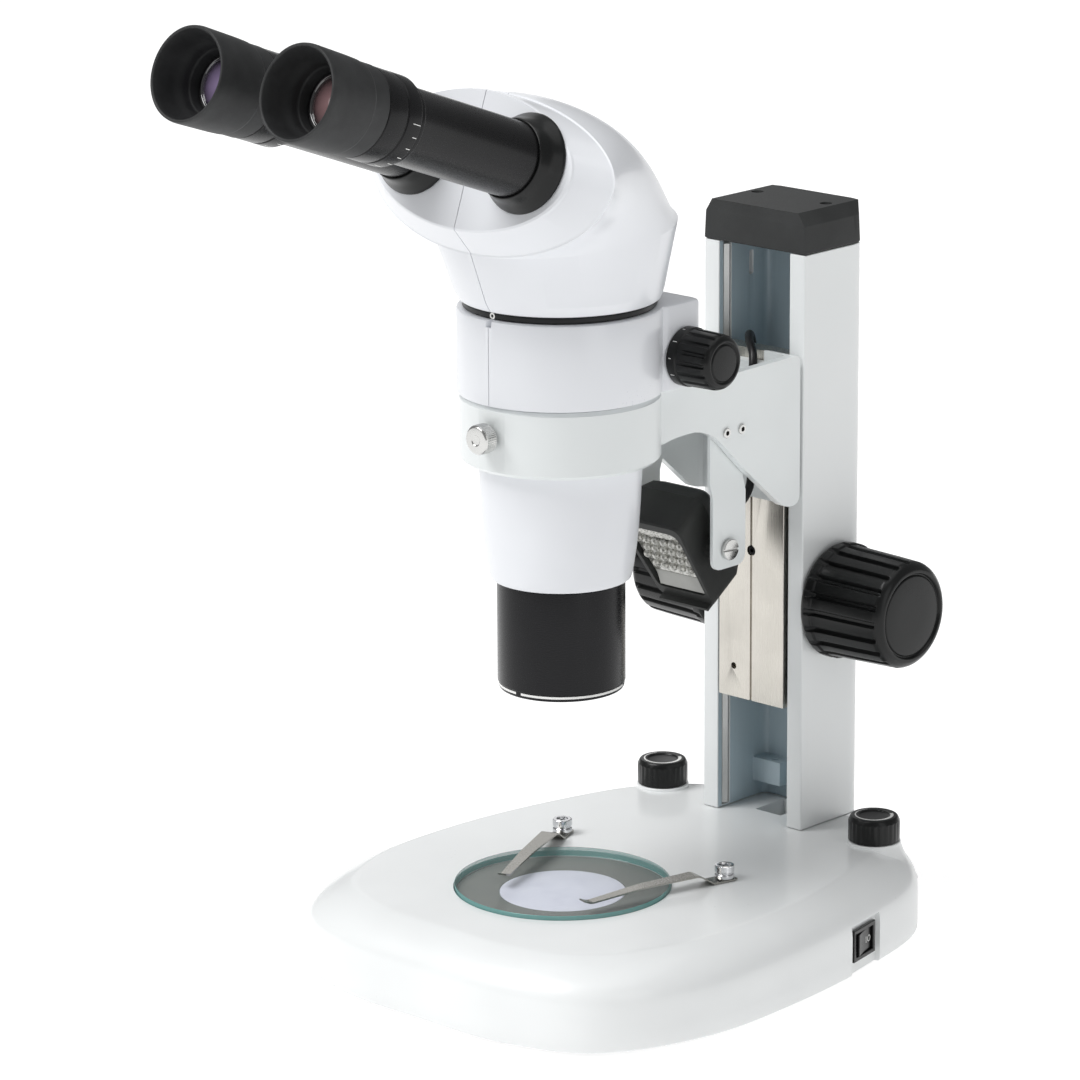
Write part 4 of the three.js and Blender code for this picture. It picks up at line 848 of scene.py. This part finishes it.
def addZoomHousing():
    r, half, back, bottom, top = (zoom[key] for key in ("radius", "half", "back", "bottom", "top"))
    joinAngle = math.asin(zoom["join"] / r)
    steps = 84
    plan = []
    for i in range(steps + 1):
        angle = math.pi - joinAngle + (math.pi + 2 * joinAngle) * i / steps
        plan.append((r * math.cos(angle), r * math.sin(angle)))
    plan += [(half, 28.5, 1.5), (half, back, 4.5), (-half, back, 4.5), (-half, 28.5, 1.5)]
    line = roundedLine(plan, True, 6)
    levels = [(bottom, 0.9), (bottom + 0.25, 0.3), (bottom + 0.9, 0), (top - 1.6, 0), (top - 0.5, 0.45), (top, 1.5)]
    for name, side in sides:
        sections = []
        for z, inset in levels:
            shrink = 1 - inset / r
            sections.append([(x * shrink, y * shrink if y < zoom["join"] else y - inset * (y > 40), z)
                             for x, y in line])
        shell = loftPoints(f"zoom_housing_{name}_fine", sections, "headPaint")
        cut = [bar(40.4, 270, 311.6, finish="headPaint"),
               boxPiece("hollow", (-36, 20, 280), (36, 48, 311.6), "knobPlastic"),
               bar(3.6, -60, 60, sideways(1, 0, zoom["y"], zoom["z"]), 32, "headPaint"),
               bar(36, 306, 330, finish="headPaint"),
               extruded("notch", [(-3.2, -r - 3), (3.2, -r - 3), (0, -r + 4)], 313.4, 330, "headPaint")]
        combined(shell, "DIFFERENCE", *cut)
        combined(shell, "INTERSECT", halfBox(side))
        eased(shell, 0.18, 40)
        keepBody(shell, "scope", "zoom_housing_" + name)
    refined("zoom_shaft", "plateSteel", 0.15)
    grip = [(0, -0.4), (13.6, -0.4, 0.4), (13.6, 4.2, 0.5), (13.0, 4.9, 0.3), (13.1, 8), (12.8, 19.6, 0.6),
            (12.1, 21.6, 0.8), (10.6, 22.9, 0.7), (9.6, 23, 0.3), (9.0, 22.1, 0.3), (8.5, 22.1, 0.3),
            (8.0, 22.8, 0.3), (0, 22.9)]
    flutes = fluted(zoom["flutes"], 1.2, 0.55, 5.2, 21, 0.8)
    for name, side in sides:
        place = sideways(side, side * zoom["knob"], zoom["y"], zoom["z"])
        knob = turnedPiece(f"zoom_knob_{name}_fine", grip, "knobPlastic", place, 288, reach=flutes)
        keepBody(smooth(knob, 40), bodyOf["zoom_knob_" + name], "zoom_knob_" + name)
        for k in range(zoom["ticks"]):
            spot = place @ turned("Z", math.radians(60 + 34 * k))
            tick = printedTick(f"zoom_tick_{name}_{k + 1}", 1.2, 2.6 + (k % 2) * 0.8, 0.16, 13.58, 13.66, spot)
            keepBody(tick, bodyOf["zoom_knob_" + name])
    for name in ("lens_carrier_lower", "lens_carrier_upper"):
        refined(name, "mountBlack", 0.2)


# The skin's ovals turn about a hinge line under the face; each pair is a size at the heel and at the crease.
head = {"bottom": 320, "tilt": math.radians(20), "hingeY": -57.2, "hingeZ": 348, "face": 14.5, "faceRise": 9.2,
        "length": (110.2, 73), "width": (54, 73), "waist": (56, 39.6), "tubeRise": 42.4, "spread": 33,
        "swing": 19.7, "swingAngle": math.radians(30.5), "slack": 9.6}
creaseAngle = math.pi / 2 - head["tilt"]


def between(pair, share):
    return pair[0] + (pair[1] - pair[0]) * share


def leaned(x, v, angle):
    return (x, head["hingeY"] + v * math.cos(angle), head["hingeZ"] + v * math.sin(angle))


def facePlace(along):
    c, s = math.cos(head["tilt"]), math.sin(head["tilt"])
    return lambda x, v: (x, head["hingeY"] + v * s - along * c, head["hingeZ"] + v * c + along * s)


# An oval, widest at the waist, whose far half may be squarer or rounder than an ellipse.
def oval(halfWidth, low, waist, high, power, place, count=128):
    points = []
    for i in range(count):
        angle = i / count * 2 * math.pi - math.pi / 2
        c, s = math.cos(angle), math.sin(angle)
        bend = 2 / power if s > 0 else 1
        x = halfWidth * math.copysign(abs(c) ** bend, c)
        reach = abs(s) ** bend
        points.append(place(x, waist + (high - waist) * reach if s > 0 else waist - (waist - low) * reach))
    return points


def headLoft(name, inset, steps):
    def flat(radius, z, shift=0):
        return oval(radius - inset, inset - radius, 0, radius - inset, 2, lambda x, v: (x, v + shift, z))
    bottom = head["bottom"]
    if inset:
        sections = [flat(45.8, bottom + inset), flat(47.6, bottom + inset + 4, -0.6)]
    else:
        sections = [flat(43.6, bottom), flat(44.9, bottom + 0.15), flat(45.5, bottom + 0.6),
                    flat(45.9, bottom + 1.4), flat(47.5, bottom + 5, -0.6)]
    heel = math.atan2(9.6, 109.8)
    for i in range(steps + 1):
        t = i / steps
        angle = heel + (creaseAngle - heel) * t
        length = between(head["length"], t ** 0.62)
        width = between(head["width"], t ** 1.15)
        waist = between(head["waist"], t)
        sections.append(oval(width - inset, inset, waist, length - inset, 2 - 0.2 * t,
                             lambda x, v, a=angle: leaned(x, v, a)))
    if not inset:
        sections.append(oval(72.2, 0.8, 39.6, 72.2, 1.8, facePlace(0.5)))
    along = head["face"] - inset
    rise = head["faceRise"]
    sections.append(oval(60 - inset, rise - 1.4 + inset, 40, rise + 62.6 - inset, 1.9, facePlace(along - 1.6)))
    if not inset:
        sections.append(oval(59.5, rise - 0.9, 40, rise + 62.3, 1.9, facePlace(along - 0.6)))
    sections.append(oval(58.3 - inset, rise + inset, 40, rise + 62 - inset, 1.9, facePlace(along)))
    return loftPoints(name, sections, "headPaint")


# The face's own frame: origin between the tubes, +Z along them.
facePoint = facePlace(head["face"])(0, head["tubeRise"])
faceFrame = upright(*facePoint) @ turned("X", creaseAngle)


# The opening that an eyepiece tube's neck swings in.
def kidney(side):
    r, rest, wide = head["swing"], head["swingAngle"], head["slack"]
    cx, cy = side * (head["spread"] - r * math.cos(rest)), -r * math.sin(rest)
    low, high = rest - math.radians(17), rest + math.radians(26)
    line = []
    for i in range(13):
        a = low + (high - low) * i / 12
        line.append(((r + wide) * math.cos(a), (r + wide) * math.sin(a)))
    for i in range(1, 8):
        a = high + math.pi * i / 8
        line.append((r * math.cos(high) + wide * math.cos(a), r * math.sin(high) + wide * math.sin(a)))
    for i in range(13):
        a = high + (low - high) * i / 12
        line.append(((r - wide) * math.cos(a), (r - wide) * math.sin(a)))
    for i in range(1, 8):
        a = low + math.pi + math.pi * i / 8
        line.append((r * math.cos(low) + wide * math.cos(a), r * math.sin(low) + wide * math.sin(a)))
    return extruded("kidney", [(cx + side * x, cy + y) for x, y in line], -12, 3, "headPaint", faceFrame)


def addHead():
    mountLine = [(30, 308.6), (34.6, 308.6), (34.6, 316.9), (43.6, 316.9, 0.2), (43.9, 317.3, 0.2),
                 (43.9, 319.3, 0.2), (43.6, 319.7), (35, 319.7), (35, 325), (30, 325)]
    mount = turnedPiece("head_mount_ring_fine", mountLine, "mountBlack", segments=120, ring=True)
    keepBody(smooth(mount), "scope", "head_mount_ring")
    screwHead("mount_set_screw", towardsUser(0, -43.4, 318.3), 1.6, 0.5, "hex", body="scope")
    for name, side in sides:
        shell = headLoft(f"head_shell_{name}_fine", 0, 28)
        combined(shell, "DIFFERENCE", headLoft("hollow", 3.2, 10), bar(36, 316, 328, finish="headPaint"),
                 kidney(-1), kidney(1))
        combined(shell, "INTERSECT", halfBox(side))
        eased(shell, 0.35, 11, 2)
        keepBody(shell, "scope", "head_shell_" + name)


eye = {"tubeEnd": 89.6, "diopterEnd": 111, "length": 147.4, "ticks": 11}


def tubePlace(side):
    return faceFrame @ shifted(side * head["spread"], 0, 0)


# A turned part of an eyepiece, in place of the node of the same name.
def eyepiecePart(node, line, finish, place, segments, ring=True, angle=32):
    part = turnedPiece(node + "_fine", line, finish, place, segments, ring)
    return keepBody(smooth(part, angle), bodyOf[node], node)


def addEyepieces():
    end, ring, rim = eye["tubeEnd"], eye["diopterEnd"], eye["length"]
    tube = [(0, -9), (9, -9), (9, 10.4), (16.9, 10.4), (16.9, end - 3.2, 0.3), (17.3, end - 2.9, 0.2),
            (18.4, end - 2.7, 0.4), (18.6, end - 2.2, 0.3), (18.6, end, 0.3), (15.6, end), (15.6, end + 14),
            (14, end + 14), (14, 16), (0, 16)]
    collar = [(9.3, 0.4), (22.6, 0.4, 0.2), (22.5, 1.6, 0.6), (21.4, 3.4, 2), (19.6, 6.4, 2.4), (18.5, 10.2, 0.6),
              (17.9, 11.8, 0.4), (17.3, 11.8), (17.3, 10), (9.3, 10)]
    band = [(16, end + 0.4), (19.2, end + 0.4, 0.2), (20, end + 1.2, 0.3), (20, end + 9, 0.2), (19.5, end + 9.4, 0.2),
            (19.5, end + 10, 0.2), (20, end + 10.4, 0.2), (20, ring - 0.6, 0.3), (19.4, ring, 0.2), (16, ring)]
    cup = [(14.1, ring + 0.4), (20.2, ring + 0.4, 0.3), (20.2, ring + 9, 0.4), (20.6, ring + 9.8, 0.3),
           (20.9, ring + 16, 2), (21.3, rim - 2, 0.8), (20.9, rim, 0.5), (19.7, rim - 0.3, 0.5), (18.6, rim - 6, 2),
           (17.4, rim - 11, 1.6), (15.6, rim - 14.5, 1), (15, rim - 17.2, 0.5), (14.1, rim - 18)]
    glass = [(0, end + 20), (13.6, end + 20), (13.6, 125.2, 0.3), (12.2, 125.2, 0.3), (11.6, 124.6, 0.3),
             (11.2, 124.9), (8, 126.3), (4, 127.2), (0, 127.5)]
    for name, side in sides:
        place = tubePlace(side)
        eyepiecePart("eyepiece_tube_" + name, tube, "tubeBlack", place, 128, ring=False)
        eyepiecePart("tube_collar_" + name, collar, "knobPlastic", place, 128)
        eyepiecePart("diopter_ring_" + name, band, "tubeBlack", place, 160)
        for k in range(eye["ticks"]):
            spot = place @ turned("Z", math.radians(-160 + 16 * k))
            high = 4.4 if k % 5 == 0 else 2.4
            tick = printedTick(f"diopter_tick_{name}_{k + 1}", end + 1.6, end + 1.6 + high, 0.17, 19.97, 20.06, spot)
            keepBody(tick, bodyOf["diopter_ring_" + name])
        spot = place @ turned("Z", math.radians(-80))
        index = printedTick(f"tube_index_{name}", end - 2.1, end - 0.3, 0.2, 18.57, 18.66, spot)
        keepBody(index, bodyOf["eyepiece_tube_" + name])
        eyepiecePart("eyecup_" + name, cup, "rubber", place, 128, angle=50)
        eyepiecePart("eye_lens_" + name, glass, "eyeLens_" + name, place, 96, ring=False)


def addCoatedGlass():
    # Painted reflection and shade: the middle colours are the coatings' coloured reflections, different for each eye,
    # and black is painted shade at each lens's rim.
    black = rgb(14, 12, 16)
    for name, side in sides:
        reflectedTint = rgb(150, 132, 168) if side < 0 else rgb(150, 118, 120)
        finishes["eyeLens_" + name] = lensFinish("eyeLens_" + name, tubePlace(side).translation, (creaseAngle, 0, 0),
                                                 reflectedTint, black, 12.5)
    finishes["frontLens"] = lensFinish("frontLens", axisFrame.translation, (0, 0, 0), rgb(96, 84, 128), black, 23)


def addLead():
    curve = bpy.data.curves.new("lampLead", "CURVE")
    curve.dimensions, curve.bevel_depth, curve.bevel_resolution, curve.resolution_u = "3D", 2 * mm, 6, 8
    curve.use_fill_caps = True
    spline = curve.splines.new("NURBS")
    route = smoothRoute(leadRoute, 30)
    spline.points.add(len(route) - 1)
    for point, place in zip(spline.points, route):
        point.co = (*fromAxis(*place), 1)
    spline.use_endpoint_u, spline.order_u = True, 3
    lead = bpy.data.objects.new("lamp_lead_fine", curve)
    bpy.context.scene.collection.objects.link(lead)
    curve.materials.append(finishes["leadPlastic"])
    keepBody(lead, bodyOf["lamp_lead"], "lamp_lead")
    length = sum((b - a).length for a, b in zip(route, route[1:])) * mm
    tuple(fromAxis(*leadRoute[0]))


# The smooth curve through the route's points that the solid lead follows.
def smoothRoute(points, samples):
    points = [Vector(p) for p in points]
    line = []
    spans = len(points) - 1
    for i in range(samples + 1):
        share = min(spans - 1e-6, i / samples * spans)
        at, t = int(share), share - int(share)
        b, c = points[at], points[at + 1]
        a = points[at - 1] if at else 2 * b - c
        d = points[at + 2] if at + 2 <= spans else 2 * c - b
        line.append(curvePoint(a, b, c, d, t)[0])
    return line


def addFloor():
    s = Shader("studioFloor")
    haze = s.noise(300, 2)
    s.finish(Base_Color=s.mix(haze, light["floor"] + (1,), shaded(light["floor"], 1.03)), Roughness=0.6,
             Specular_IOR_Level=0.2, Emission_Color=(1, 1, 1, 1), Emission_Strength=light["floorGlow"])
    mesh = bpy.data.meshes.new("floor")
    far = light["floorReach"]
    mesh.from_pydata([(-far, -far, 0), (far, -far, 0), (far, far, 0), (-far, far, 0)], [], [(0, 1, 2, 3)])
    floor = bpy.data.objects.new("floor", mesh)
    bpy.context.scene.collection.objects.link(floor)
    mesh.materials.append(s.material)


addFloor()
addLead()
addCoatedGlass()
addBase()
addStageGlass()
addClips()
addDimmers()
addSwitch()
print("base, stage and controls made")
addColumn()
addFocusDrive()
addArm()
addLamp()
print("column, focus drive, arm and lamp made")
addBarrel()
addZoomHousing()
addHead()
addEyepieces()
print("zoom body, head and eyepieces made")
